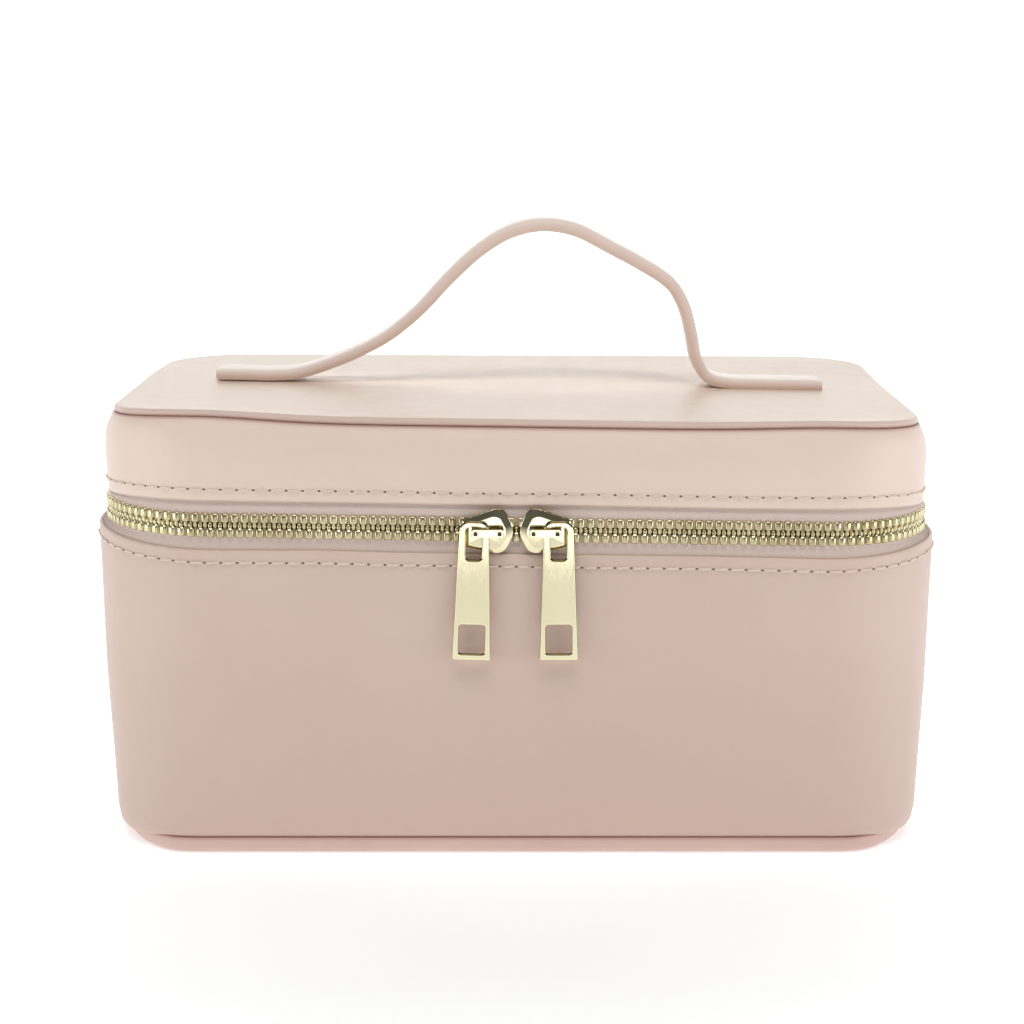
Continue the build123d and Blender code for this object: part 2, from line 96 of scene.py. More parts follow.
LIFT_X, LIFT_SPREAD = 88.0, 26.0  # where that rise is, and how far it spreads
LINING_ROUND, LINING_GAP, LINING_THICK = 3.4, 0.6, 0.4
TAPE_END, HINGE_END = 6.5, 2.2  # how far the tapes and the hinge strip stop inside the zip's stops


def outline_of(low, high, corner, grow=0.0):
    """(width, depth, corner radius) of a box in plan, grown by a distance on every side."""
    return (high[0] - low[0] + 2 * grow, high[1] - low[1] + 2 * grow, corner + grow)


BODY_LEVELS = [
    (BASE_Z, outline_of(base_low, base_high, 25.6, -PIPING_PROUD)),
    (RIM_Z, outline_of(wall_low, wall_high, 37.0)),
]
LID_LEVELS = [
    (EDGE_Z, outline_of(lid_low, lid_high, 33.5)),
    (109.0, outline_of(lid_low, lid_high, 32.5, -0.1)),
    (112.5, outline_of(lid_low, lid_high, 31.0, -0.5)),
    (115.0, outline_of(lid_low, lid_high, 29.0, -1.1)),
    (117.0, outline_of(lid_low, lid_high, 27.0, -2.0)),
    (SEAM_Z, outline_of(seam_low, seam_high, 24.6, PIPING_INSET)),
]
CHAIN_OUTLINE = outline_of(tape_low, tape_high, 33.5)

SKEW = 1.75  # drop of the rim and the lid at the right, and rise at the left

# ---------------------------------------------------------------- rings round the case

CORNER_STEPS, LONG_STEPS, SHORT_STEPS = 18, 64, 34


def ring(width, depth, radius):
    """Points and outward normals in plan, anticlockwise round a rounded rectangle from the back's middle."""
    hx, hy = width / 2 - radius, depth / 2 - radius
    points, normals = [], []

    def straight(start, end, steps, normal):
        for i in range(steps):
            share = i / steps
            points.append((start[0] + (end[0] - start[0]) * share, start[1] + (end[1] - start[1]) * share))
            normals.append(normal)

    def corner(cx, cy, start):
        for i in range(CORNER_STEPS):
            angle = math.radians(start + 90 * i / CORNER_STEPS)
            points.append((cx + radius * math.cos(angle), cy + radius * math.sin(angle)))
            normals.append((math.cos(angle), math.sin(angle)))

    straight((0, hy + radius), (-hx, hy + radius), LONG_STEPS // 2, (0, 1))
    corner(-hx, hy, 90)
    straight((-hx - radius, hy), (-hx - radius, -hy), SHORT_STEPS, (-1, 0))
    corner(-hx, -hy, 180)
    straight((-hx, -hy - radius), (hx, -hy - radius), LONG_STEPS, (0, -1))
    corner(hx, -hy, 270)
    straight((hx + radius, -hy), (hx + radius, hy), SHORT_STEPS, (1, 0))
    corner(hx, hy, 0)
    straight((hx, hy + radius), (0, hy + radius), LONG_STEPS // 2, (0, 1))
    return np.array(points), np.array(normals)


def smooth(low, high, value):
    """0 below low, 1 above high, and an even curve between."""
    t = np.clip((value - low) / (high - low), 0, 1)
    return t * t * (3 - 2 * t)


def outline_at(levels, z):
    """The outline at height z, straight between the levels on either side of it."""
    heights = [level[0] for level in levels]
    return tuple(
        float(np.interp(z, heights, [level[1][k] for level in levels])) for k in range(3)
    )


def waves(points, z, size, seed):
    """A slow unevenness, up to about size, the same for every layer of a wall."""
    return np.array(
        [size * noise.noise(Vector((x / 34, y / 34, z / 40 + seed))) for x, y in points]
    )


def skew(points, z):
    """Drop at each point: the soft case leans, so its right side is a little lower than its left."""
    share = smooth(45, 84, z)
    behind = 1 - 0.75 * smooth(10, 62, points[:, 1])
    return SKEW * share * points[:, 0] / HALF_WIDTH * behind


def sideways(points):
    """0 along the front, 1 on the sides, and nearly 0 again at the back."""
    return smooth(-77, -44, points[:, 1]) * (1 - 0.85 * smooth(0, 62, points[:, 1]))


def flanks(normals):
    """0 along the front and the back, 1 on the sides."""
    return smooth(0.2, 0.9, np.abs(normals[:, 0]))


def base_tuck(normals):
    """How far the foot of the wall turns in: a little along the front, and more at the sides."""
    return FRONT_TUCK + SIDE_TUCK * flanks(normals)


def body_shape(points, normals, z):
    """How the soft body wall departs from its plain shape: (outwards, upwards)."""
    across = np.abs(normals[:, 1]) > 0.7
    x, y = points[:, 0] / HALF_WIDTH, points[:, 1] / HALF_DEPTH
    flat = np.where(across, 1 - x ** 2, 1 - y ** 2)
    height = np.clip((z - BASE_Z) / (RIM_Z - BASE_Z), 0, 1)
    bow = BOW * math.sin(math.pi * height) * np.clip(flat, 0, 1)
    foot = min(1.0, max(0.0, 1 - (z - FOOT_Z) / FOOT_ROUND))
    tuck = 1 - math.sqrt(1 - foot * foot)
    sag = SAG * flanks(normals) * (1 - smooth(FOOT_Z, FOOT_Z + SAG_HEIGHT, z))
    out = bow - tuck * base_tuck(normals) + waves(points, z, 0.5 * math.sin(math.pi * height), 3.0)
    lift = smooth(60, RIM_Z, z) * (1.8 * sideways(points) + waves(points, 0, 0.3, 9.0))
    return out, lift - sag - skew(points, z)


def front_lift(points):
    """The lid's front edge stands a little higher near its ends than in the middle."""
    ends = np.exp(-(((np.abs(points[:, 0]) - LIFT_X) / LIFT_SPREAD) ** 2))
    rise = np.where(points[:, 0] < 0, LIFT_LEFT, LIFT_RIGHT)
    return rise * ends * (1 - smooth(-72, -40, points[:, 1]))


def lid_shape(points, normals, z):
    """How the soft lid wall departs from its plain shape: (outwards, upwards)."""
    low = 1 - smooth(EDGE_Z, EDGE_Z + 11, z)
    swell = 0.5 * math.sin(math.pi * min(1.0, (z - EDGE_Z) / (SEAM_Z - EDGE_Z)))
    uneven = smooth(EDGE_Z, EDGE_Z + 5, z) * (1 - smooth(115, SEAM_Z, z))
    middle = np.clip(1 - (points[:, 0] / 108) ** 2, 0, 1) * (1 - smooth(-60, -30, points[:, 1]))
    lean = LID_LEAN * middle * np.clip((z - EDGE_Z) / (SEAM_Z - EDGE_Z), 0, 1)
    out = swell - lean + waves(points, z, 0.3, 5.0) * uneven
    up = low * (waves(points, 0, 0.25, 2.0) - 2.5 * sideways(points))
    return out, up + smooth(107, SEAM_Z, z) * front_lift(points) - skew(points, z)


def wall_ring(levels, shape, z, depth):
    """A ring of points at height z and a depth in from the outer face, softened by shape."""
    width, length, radius = outline_at(levels, z)
    outer, normals = ring(width, length, radius)
    out, up = shape(outer, normals, z)
    points, _ = ring(width - 2 * depth, length - 2 * depth, max(radius - depth, 0.5))
    moved = points + normals * out[:, None]
    return np.column_stack([moved, np.full(len(moved), z) + up]), normals


def body_ring(z, depth):
    return wall_ring(BODY_LEVELS, body_shape, z, depth)


def lid_ring(z, depth):
    return wall_ring(LID_LEVELS, lid_shape, z, depth)


# ---------------------------------------------------------------- mesh helpers


def make_mesh(name, points, faces, material, attributes=None):
    """A mesh object from millimetre points."""
    mesh = bpy.data.meshes.new(name)
    mesh.from_pydata([tuple(float(c) * MM for c in p) for p in points], [], faces)
    mesh.polygons.foreach_set("use_smooth", [True] * len(mesh.polygons))
    for key, values in (attributes or {}).items():
        layer = mesh.attributes.new(key, "FLOAT", "POINT")
        layer.data.foreach_set("value", np.asarray(values, dtype=np.float32))
    mesh.materials.append(material)
    mesh.update()
    piece = bpy.data.objects.new(name, mesh)
    bpy.context.scene.collection.objects.link(piece)
    return piece


def tube_faces(rows, around, close_rows, close_around):
    """Quads between rows of points, each row going round with the same count."""
    faces = []
    for i in range(rows if close_rows else rows - 1):
        j = (i + 1) % rows
        for a in range(around if close_around else around - 1):
            b = (a + 1) % around
            faces.append((i * around + a, i * around + b, j * around + b, j * around + a))
    return faces


def flipped(faces):
    """The same faces, looking the other way."""
    return [tuple(reversed(face)) for face in faces]


def capped_tube(rows, around):
    """Faces of a tube between rows of points, with a flat cap on each end."""
    last = (rows - 1) * around
    caps = [tuple(reversed(range(around))), tuple(range(last, last + around))]
    return tube_faces(rows, around, False, True) + caps


def turns(count):
    """Cosine and sine of even steps round a full turn."""
    angles = [2 * math.pi * k / count for k in range(count)]
    return [(math.cos(angle), math.sin(angle)) for angle in angles]


def quarter_round(radius, steps=6):
    """(inset, rise) along a quarter circle that turns from upright to flat, without its start."""
    angles = [math.pi / 2 * k / steps for k in range(1, steps + 1)]
    return [(radius * (1 - math.cos(angle)), radius * math.sin(angle)) for angle in angles]


def skin(name, rings, material, seams=None):
    """A skin through rings of points, with the last ring joined to the first."""
    count = len(rings[0])
    points = np.concatenate(rings)
    faces = tube_faces(len(rings), count, True, True)
    attributes = {}
    if seams is not None:
        attributes["seam"] = np.repeat(seams, count)
    return make_mesh(name, points, faces, material, attributes=attributes)


CAP_SHARES = (0.7, 0.4, 0.15)


def closed_in(rings, shares, both=True):
    """Points and faces through rings, with the last one filled in, and the first too if both."""
    count = len(rings[0])
    last = rings[-1]
    middle = last.mean(axis=0)
    rings = list(rings) + [middle + (last - middle) * share for share in shares]
    faces = tube_faces(len(rings), count, False, True)
    points = [np.concatenate(rings), middle[None, :]]
    top, end = len(rings) * count, (len(rings) - 1) * count
    faces += [(end + k, end + (k + 1) % count, top) for k in range(count)]
    if both:
        points.append(rings[0].mean(axis=0)[None, :])
        faces += [((k + 1) % count, k, top + 1) for k in range(count)]
    return np.concatenate(points), faces


def merged(name, shape_points, shape_faces, places, material):
    """Copies of one small shape at many places, each place a 3 by 3 matrix and an origin."""
    points, faces = [], []
    shape_points = np.asarray(shape_points, float)
    for axes, origin in places:
        start = len(points)
        points.extend(shape_points @ np.asarray(axes) + np.asarray(origin))
        faces.extend(tuple(start + v for v in face) for face in shape_faces)
    return make_mesh(name, points, faces, material)


def evenly(points, pitch, closed=True):
    """Points evenly spaced along a line of points, with the tangent at each."""
    line = np.vstack([points, points[:1]]) if closed else points
    run = np.concatenate([[0], np.cumsum(np.linalg.norm(np.diff(line, axis=0), axis=1))])
    count = round(run[-1] / pitch)
    at = np.arange(count) * run[-1] / count
    places = np.column_stack([np.interp(at, run, line[:, k]) for k in range(3)])
    ahead = np.column_stack([np.interp((at + 0.3) % run[-1], run, line[:, k]) for k in range(3)])
    tangents = ahead - places
    tangents /= np.linalg.norm(tangents, axis=1)[:, None]
    return places, tangents


def sections_shape(sections, sides=10):
    """A closed shape through round-cornered sections: (z, half width, half depth), lowest first."""
    points, faces = [], []
    for z, half_width, half_depth in sections:
        for c, s in turns(sides):
            points.append((
                half_width * math.copysign(abs(c) ** 0.6, c),
                half_depth * math.copysign(abs(s) ** 0.6, s),
                z,
            ))
    return points, capped_tube(len(sections), sides)


# ---------------------------------------------------------------- materials


def new_material(name):
    material = bpy.data.materials.new(name)
    material.use_nodes = True
    tree = material.node_tree
    return material, tree, tree.nodes["Principled BSDF"]


def srgb(r, g, b):
    """Linear colour of an 8-bit display colour."""
    return tuple(
        (c / 255 / 12.92 if c / 255 <= 0.04045 else ((c / 255 + 0.055) / 1.055) ** 2.4)
        for c in (r, g, b)
    ) + (1.0,)


def place_node(tree, scale=(1, 1, 1)):
    """Object coordinates, stretched along each axis."""
    coordinates = tree.nodes.new("ShaderNodeTexCoord")
    mapping = tree.nodes.new("ShaderNodeMapping")
    mapping.inputs["Scale"].default_value = scale
    tree.links.new(coordinates.outputs["Object"], mapping.inputs["Vector"])
    return mapping.outputs["Vector"]


def noise_node(tree, vector, scale, detail=2.0, roughness=0.5):
    texture = tree.nodes.new("ShaderNodeTexNoise")
    texture.inputs["Scale"].default_value = scale
    texture.inputs["Detail"].default_value = detail
    texture.inputs["Roughness"].default_value = roughness
    tree.links.new(vector, texture.inputs["Vector"])
    return texture.outputs["Fac"]


def mix_colours(tree, factor, first, second):
    """A colour between two, by a factor output. Either colour may be an output."""
    mix = tree.nodes.new("ShaderNodeMix")
    mix.data_type = "RGBA"
    tree.links.new(factor, mix.inputs[0])
    for value, socket in ((first, mix.inputs[6]), (second, mix.inputs[7])):
        if isinstance(value, tuple):
            socket.default_value = value
        else:
            tree.links.new(value, socket)
    return mix.outputs[2]


def range_node(tree, value, low, high, to_low, to_high):
    remap = tree.nodes.new("ShaderNodeMapRange")
    tree.links.new(value, remap.inputs["Value"])
    remap.inputs["From Min"].default_value = low
    remap.inputs["From Max"].default_value = high
    remap.inputs["To Min"].default_value = to_low
    remap.inputs["To Max"].default_value = to_high
    return remap.outputs["Result"]


def maths(tree, kind, first, second):
    node = tree.nodes.new("ShaderNodeMath")
    node.operation = kind
    for value, socket in ((first, node.inputs[0]), (second, node.inputs[1])):
        if isinstance(value, (int, float)):
            socket.default_value = value
        else:
            tree.links.new(value, socket)
    return node.outputs[0]


def bump(tree, shader, height, strength, distance):
    node = tree.nodes.new("ShaderNodeBump")
    node.inputs["Strength"].default_value = strength
    node.inputs["Distance"].default_value = distance
    tree.links.new(height, node.inputs["Height"])
    tree.links.new(node.outputs["Normal"], shader.inputs["Normal"])


def leather(name, tone, shade, seam_shade_tone, roughness=0.5, foot=None):
    """Synthetic leather: a fine pebbled grain and slow colour drift, darker where the seam attribute marks
    it: painted seam shade, and on the strap its edge paint.

    Foot is a tone that the leather deepens to, close to the floor: painted shade.
    """
    material, tree, shader = new_material(name)
    vector = place_node(tree)
    drift = noise_node(tree, vector, 14, 3)
    colour = mix_colours(tree, range_node(tree, drift, 0.35, 0.65, 0, 1), tone, shade)
    # Painted shade: the leather darkens towards the floor.
    if foot:
        height = tree.nodes.new("ShaderNodeSeparateXYZ")
        tree.links.new(vector, height.inputs["Vector"])
        low = range_node(tree, height.outputs["Z"], 0.0, 0.065, 1, 0)
        colour = mix_colours(tree, low, colour, foot)
    # Painted shade in the seams, where the seam attribute is set; on the strap the same attribute marks its
    # edge paint.
    seam = tree.nodes.new("ShaderNodeAttribute")
    seam.attribute_name = "seam"
    colour = mix_colours(tree, seam.outputs["Fac"], colour, seam_shade_tone)
    tree.links.new(colour, shader.inputs["Base Color"])
    cells = tree.nodes.new("ShaderNodeTexVoronoi")
    cells.feature = "F1"
    cells.inputs["Scale"].default_value = 1600
    tree.links.new(vector, cells.inputs["Vector"])
    fine = noise_node(tree, vector, 900, 3, 0.6)
    pebbles = maths(tree, "ADD", cells.outputs["Distance"], fine)
    bump(tree, shader, pebbles, 0.35, 0.00006)
    gloss = noise_node(tree, vector, 300, 2)
    tree.links.new(
        range_node(tree, gloss, 0.3, 0.7, roughness - 0.05, roughness + 0.07),
        shader.inputs["Roughness"],
    )
    shader.inputs["Specular IOR Level"].default_value = 0.45
    shader.inputs["Sheen Weight"].default_value = 0.08
    return material


def metal(name, colour, dark, roughness, scratch=0.08, painted_reflection_tone=None):
    """Plated metal with faint polishing marks, and deeper in tone where it turns up or sideways: a painted
    dark reflection.
    """
    material, tree, shader = new_material(name)
    vector = place_node(tree, (1, 1, 0.25))
    marks = noise_node(tree, vector, 2500, 3, 0.6)
    tone = noise_node(tree, vector, 60, 2)
    plated = mix_colours(tree, range_node(tree, tone, 0.3, 0.7, 0, 1), colour, dark)
    # Painted reflection: the colour deepens towards the given tone where the metal faces up or sideways.
    if painted_reflection_tone:
        geometry = tree.nodes.new("ShaderNodeNewGeometry")
        facing = tree.nodes.new("ShaderNodeSeparateXYZ")
        tree.links.new(geometry.outputs["True Normal"], facing.inputs["Vector"])
        aside = maths(tree, "ABSOLUTE", facing.outputs["X"], 0)
        upward = range_node(tree, facing.outputs["Z"], 0.3, 0.55, 0, 1)
        reflection_mask = maths(tree, "MAXIMUM", range_node(tree, aside, 0.5, 0.85, 0, 0.8), upward)
        plated = mix_colours(tree, reflection_mask, plated, painted_reflection_tone)
    tree.links.new(plated, shader.inputs["Base Color"])
    tree.links.new(
        range_node(tree, marks, 0.3, 0.7, roughness * 0.8, roughness * 1.3),
        shader.inputs["Roughness"],
    )
    bump(tree, shader, marks, scratch, 0.00002)
    shader.inputs["Metallic"].default_value = 1.0
    return material


def woven(name, tone, shade, thread_mm, strength=0.5, roughness=0.85):
    """Plain weave: two crossing sets of threads, about thread_mm apart, that don't need a UV map."""
    material, tree, shader = new_material(name)
    vector = place_node(tree)
    scale = 1 / (thread_mm * MM)
    heights = []
    for direction, stretch in (("Z", 1.0), ("DIAGONAL", 0.6)):
        wave = tree.nodes.new("ShaderNodeTexWave")
        wave.wave_type = "BANDS"
        wave.bands_direction = direction
        wave.inputs["Scale"].default_value = scale * 0.32 * stretch
        wave.inputs["Distortion"].default_value = 1.2
        wave.inputs["Detail"].default_value = 1.0
        wave.inputs["Detail Scale"].default_value = 2.0
        tree.links.new(vector, wave.inputs["Vector"])
        heights.append(wave.outputs["Fac"])
    weave = maths(tree, "MULTIPLY", heights[0], heights[1])
    fuzz = noise_node(tree, vector, 1200, 3, 0.7)
    height = maths(tree, "ADD", weave, maths(tree, "MULTIPLY", fuzz, 0.4))
    factor = range_node(tree, height, 0.15, 0.9, 0, 1)
    tree.links.new(mix_colours(tree, factor, shade, tone), shader.inputs["Base Color"])
    bump(tree, shader, height, strength, 0.0002)
    shader.inputs["Roughness"].default_value = roughness
    shader.inputs["Sheen Weight"].default_value = 0.25
    return material


def speckled(name, tone, shade, scale, roughness):
    """A dull plain surface, such as board or foam, with a faint mottle."""
    material, tree, shader = new_material(name)
    vector = place_node(tree)
    mottle = noise_node(tree, vector, scale, 3)
    tree.links.new(mix_colours(tree, mottle, tone, shade), shader.inputs["Base Color"])
    bump(tree, shader, mottle, 0.3, 0.0001)
    shader.inputs["Roughness"].default_value = roughness
    return material


# The seam tone is painted shade, laid where the seam attribute marks a seam.
BLUSH, BLUSH_SHADE, BLUSH_SEAM_SHADE = srgb(223, 198, 185), srgb(219, 193, 180), srgb(190, 148, 138)
# The foot tone is painted shade: the body leather darkens towards the floor.
BLUSH_FLOOR_SHADE = srgb(204, 179, 166)
leather_skin = leather("blush_leather", BLUSH, BLUSH_SHADE, BLUSH_SEAM_SHADE, foot=BLUSH_FLOOR_SHADE)
# Lit and shaded copies of the one blush leather, each toned for how the light falls on its piece: the lid,
# top, trim and strap copies are painted lighter, the edge copy painted darker.
leather_lid_lit = leather("blush_leather_lid_lit", srgb(242, 221, 207), srgb(239, 216, 202), BLUSH_SEAM_SHADE)
leather_top_lit = leather("blush_leather_top_lit", srgb(231, 209, 190), srgb(228, 204, 185), BLUSH_SEAM_SHADE, 0.42)
leather_edge_in_shade = leather("blush_leather_edge_in_shade", srgb(214, 184, 173), srgb(209, 177, 167), BLUSH_SEAM_SHADE, 0.45)
leather_trim_lit = leather("blush_leather_trim_lit", srgb(226, 201, 190), srgb(222, 196, 185), BLUSH_SEAM_SHADE, 0.45)
STRAP_SEAM = srgb(240, 216, 205)
leather_strap_lit = leather("blush_leather_strap_lit", srgb(248, 232, 221), srgb(246, 228, 217), STRAP_SEAM, 0.45)
# The last tone of the polished gold is a painted dark reflection, where it faces up or sideways.
gold = metal("polished_gold", srgb(250, 243, 208), srgb(246, 237, 196), 0.1, 0.06, srgb(112, 98, 62))
# A dark gold that stands for the shade under each bridge bar: painted shade.
gold_shade = metal("gold_painted_shade", srgb(120, 98, 60), srgb(90, 70, 40), 0.4)
teeth_metal = metal("satin_gold", srgb(218, 208, 170), srgb(190, 178, 138), 0.28, 0.2)
tape_cloth = woven("zip_tape_cloth", srgb(229, 211, 201), srgb(216, 197, 187), 0.32, 0.14)
lining_cloth = woven("lining_cloth", srgb(214, 193, 184), srgb(190, 166, 157), 0.35, 0.35)
thread = woven("sewing_thread", srgb(246, 230, 216), srgb(228, 206, 192), 0.3, 0.4, 0.6)
# The needle holes' dark colour is painted shade of the holes.
needle_hole_shade = speckled("needle_hole_shade", srgb(142, 106, 95), srgb(118, 84, 74), 900, 0.8)
board = speckled("stiffening_board", srgb(205, 196, 182), srgb(186, 176, 160), 220, 0.8)
foam = speckled("thin_foam", srgb(230, 226, 218), srgb(216, 211, 202), 500, 0.9)

# ---------------------------------------------------------------- leather skins


def wall_skin(name, ring_at, z_low, z_high, seam_shade_low, seam_shade_high, material):
    """A leather wall with thickness. A folded end is rounded over, and each end darkens into its seam by its
    own amount: painted seam shade.
    """
    middle = np.linspace(z_low + 2.2, z_high - 2.2, 26)
    outer = [(0.0, z) for z in middle]
    round_low = [(0.55, 0.0), (0.18, 0.22), (0.03, 0.8), (0.0, 1.5)]
    round_high = [(0.0, 1.5), (0.03, 0.8), (0.18, 0.22), (0.55, 0.0)]
    low = [(d, z_low + h) for d, h in round_low]
    high = [(d, z_high - h) for d, h in round_high]
    back = [(LEATHER, z_high - 0.8), (LEATHER, (z_low + z_high) / 2), (LEATHER, z_low + 0.8)]
    profile = low + outer + high + back
    rings, seams = [], []
    for depth, z in profile:
        rings.append(ring_at(z, depth)[0])
        # Painted shade: darkest at a seam, fading within about a millimetre.
        near_low = seam_shade_low * (1 - smooth(0.1, 0.8, z - z_low))
        near_high = seam_shade_high * (1 - smooth(0.1, 1.0, z_high - z))
        seams.append(max(near_low, near_high))
    return skin(name, rings, material, seams=seams)


body_skin = wall_skin("body_leather", body_ring, FOOT_Z, RIM_Z, 0.9, 0.0, leather_skin)
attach(body_skin, "case_body")
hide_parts("body_wall")

lid_skin = wall_skin("lid_leather", lid_ring, EDGE_Z, SEAM_Z, 0.55, 0.9, leather_lid_lit)
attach(lid_skin, "lid")
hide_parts("lid_wall")


def slab_skin(name, outline, z_seam, z_face, shape, material, edge_material, sign, turn=1.25):
    """A leather panel with a rounded, sewn edge: its side, its rounded corner and its flat face.

    Sign is 1 for a face that looks up and -1 for one that looks down.
    """
    height = abs(z_face - z_seam)
    profile = [(1.4, 0.0), (0.35, 0.0), (0.08, 0.25), (0.0, 0.7)]
    profile.append((0.0, height - turn))
    profile += [(inset, height - turn + rise) for inset, rise in quarter_round(turn)]
    if sign < 0:
        profile.insert(0, (1.6, height - LEATHER))  # the base is a dish, and the floor board stands in it
    edge_rows = len(profile)
    profile += [(turn + inset, height) for inset in (1.0, 3.0, 6.0, 10.0, 15.0)]
    rings, seams = [], []
    width, depth, radius = outline
    for inset, rise in profile:
        points, normals = ring(width - 2 * inset, depth - 2 * inset, max(radius - inset, 1.0))
        z = z_seam + sign * rise
        out, up = shape(points, normals, z_seam)
        fade = math.exp(-inset / 9)
        lean = skew(points, z_seam)
        level = z + (up + lean) * fade - lean
        rings.append(np.column_stack([points + normals * (out * fade)[:, None], level]))
        # Painted shade along the sewn edge, fading up its side.
        seams.append(0.95 * (1 - smooth(0.1, 0.9, rise)))
    points, faces = closed_in(rings, CAP_SHARES)
    if sign < 0:
        faces = flipped(faces)
    seams = np.concatenate([np.repeat(seams, len(rings[0])), np.zeros(len(points))])[: len(points)]
    piece = make_mesh(name, points, faces, material, attributes={"seam": seams})
    piece.data.materials.append(edge_material)
    for face in piece.data.polygons:
        if face.index < (edge_rows - 3) * len(rings[0]):
            face.material_index = 1
    return piece


def hidden_layer(name, ring_at, z_low, z_high, depths, material, body, slot):
    """A layer behind the leather, from one depth to another, that follows the wall's soft shape."""
    heights = np.linspace(z_low, z_high, 8)
    rings = [ring_at(z, depths[0])[0] for z in heights]
    rings += [ring_at(z, depths[1])[0] for z in heights[::-1]]
    piece = skin(name + "_layer", rings, material)
    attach(piece, body)
    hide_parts(name)


def layer_heights(name):
    low, high = box_mm(name)
    return low[2], high[2]


PADDING_DEPTHS, BOARD_DEPTHS = (1.25, 1.8), (1.85, 3.3)
for name, ring_at, body in (("body", body_ring, "case_body"), ("lid", lid_ring, "lid")):
    cad_board = "body_board" if name == "body" else "lid_wall_board"
    cad_padding = name + "_padding"
    heights = layer_heights(cad_padding)
    hidden_layer(cad_padding, ring_at, *heights, PADDING_DEPTHS, foam, body, "padding")
    hidden_layer(cad_board, ring_at, *layer_heights(cad_board), BOARD_DEPTHS, board, body, "board")

top_outline = outline_of(seam_low, seam_high, 24.2)
lid_top = slab_skin(
    "lid_top_leather", top_outline, SEAM_Z + 0.05, TOP_Z, lid_shape, leather_top_lit, leather_trim_lit, 1
)
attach(lid_top, "lid")
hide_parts("lid_top_panel", "lid_piping_cover", "lid_piping_core", "lid_top_foam")

base_outline = outline_of(base_low, base_high, 25.6)


def base_shape(points, normals, z):
    """The bottom seam follows the body's tucked-in foot."""
    return -base_tuck(normals), np.zeros(len(points))


base_skin = slab_skin(
    "base_leather", base_outline, FOOT_Z - 0.05, 0.0, base_shape, leather_edge_in_shade, leather_edge_in_shade, -1, 2.8
)
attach(base_skin, "case_body")
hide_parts("bottom_panel", "bottom_piping_cover", "bottom_piping_core")


def floor_board():
    """The stiff board that stands on the base leather, inside the foot of the walls."""
    (_, _, z_low), (_, _, z_high) = box_mm("bottom_board")
    rings = [body_ring(FOOT_Z, depth)[0] for depth in (3.6, 3.4, 3.4, 3.6)]
    for level, z in zip(rings, (z_low, z_low + 0.3, z_high - 0.3, z_high)):
        level[:, 2] = z
    points, faces = closed_in(rings, CAP_SHARES)
    piece = make_mesh("floor_board", points, faces, board)
    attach(piece, "case_body")
    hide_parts("bottom_board")


floor_board()

# ---------------------------------------------------------------- linings


def lining(name, ring_at, z_mouth, z_floor, tape_depth):
    """A sewn lining: its mouth turns over the board, and its floor meets the walls in a round."""
    way = 1 if z_floor > z_mouth else -1
    turn = abs(z_floor - z_mouth) - LINING_ROUND - LINING_GAP
    profile = [(tape_depth, -0.1), (tape_depth + 0.4, -0.45), (LINING_OUT, -0.35), (LINING_IN, 0.4)]
    profile += [(LINING_IN, rise) for rise in np.linspace(2.0, turn, 8)]
    profile += [(LINING_IN + inset, turn + rise) for inset, rise in quarter_round(LINING_ROUND)]
    rings = [ring_at(z_mouth + way * rise, depth)[0] for depth, rise in profile]
    floor_z = z_floor - way * LINING_GAP
    for level in rings:
        level[:, 2] = way * np.minimum(way * level[:, 2], way * floor_z)
    middle = rings[-1].mean(axis=0)
    for level in [middle + (rings[-1] - middle) * share for share in (0.95, 0.85)]:
        level[:, 2] = floor_z
        rings.append(level)
    points, faces = closed_in(rings, CAP_SHARES, both=False)
    piece = make_mesh(name, points, faces, lining_cloth)
    thicken = piece.modifiers.new("thickness", "SOLIDIFY")
    thicken.thickness = LINING_THICK * MM
    thicken.offset = 0.0
    return piece


body_lining_low, _ = box_mm("body_lining")
_, lid_lining_high = box_mm("lid_lining")
inner_body = lining("body_lining_cloth", body_ring, RIM_Z - 1.0, body_lining_low[2] - 0.3, TUCK + TAPE)
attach(inner_body, "case_body")
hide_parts("body_lining")
inner_lid = lining("lid_lining_cloth", lid_ring, EDGE_Z + 1.0, lid_lining_high[2] - 0.6, TUCK + TAPE)
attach(inner_lid, "lid")
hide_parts("lid_lining")

# ---------------------------------------------------------------- zip tapes


def tape_rings(side):
    """Rows down one tape's outer face, each with its normals. Side is 1 for the lid and -1 for the body."""
    ring_at, edge_z = (lid_ring, EDGE_Z) if side > 0 else (body_ring, RIM_Z)
    tucked = [edge_z + side * rise for rise in (8.0, 5.0, 2.0, 0.3)]
    chain, normals = ring(*CHAIN_OUTLINE)
    rows = [(ring_at(z, TUCK)[0], normals) for z in tucked]
    for reach in (4.4, 3.6, 2.6, 1.8, 1.2):
        level = CHAIN_Z + side * reach - skew(chain, CHAIN_Z)
        rows.append((np.column_stack([chain, level]), normals))
    return rows


def tape_piece(name, side, node, body):
    """One tape, with a rounded bead along its edge under the teeth."""
    rows = tape_rings(side)
    keep = [
        i for i, (x, y, _) in enumerate(rows[-1][0]) if not (y > 0 and abs(x) < stops_high[0] - TAPE_END)
    ]
    outer = [points[keep] for points, _ in rows]
    inner = []
    for points, normals in rows:
        moved = points.copy()
        moved[:, :2] -= normals * TAPE
        inner.append(moved[keep])
    edge = outer[-1].copy()
    normals = rows[-1][1][keep]
    bead = []
    for k in range(7):
        angle = math.pi * (k + 0.5) / 7
        ring_points = edge.copy()
        ring_points[:, :2] += normals * (0.5 * math.cos(angle) - TAPE / 2)
        ring_points[:, 2] -= side * (0.5 * math.sin(angle) - 0.1)
        bead.append(ring_points)
    loops = outer + bead + inner[::-1]
    count = len(keep)
    faces = tube_faces(len(loops), count, True, False)
    piece = make_mesh(name, np.concatenate(loops), faces, tape_cloth)
    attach(piece, body)
    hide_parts(node)


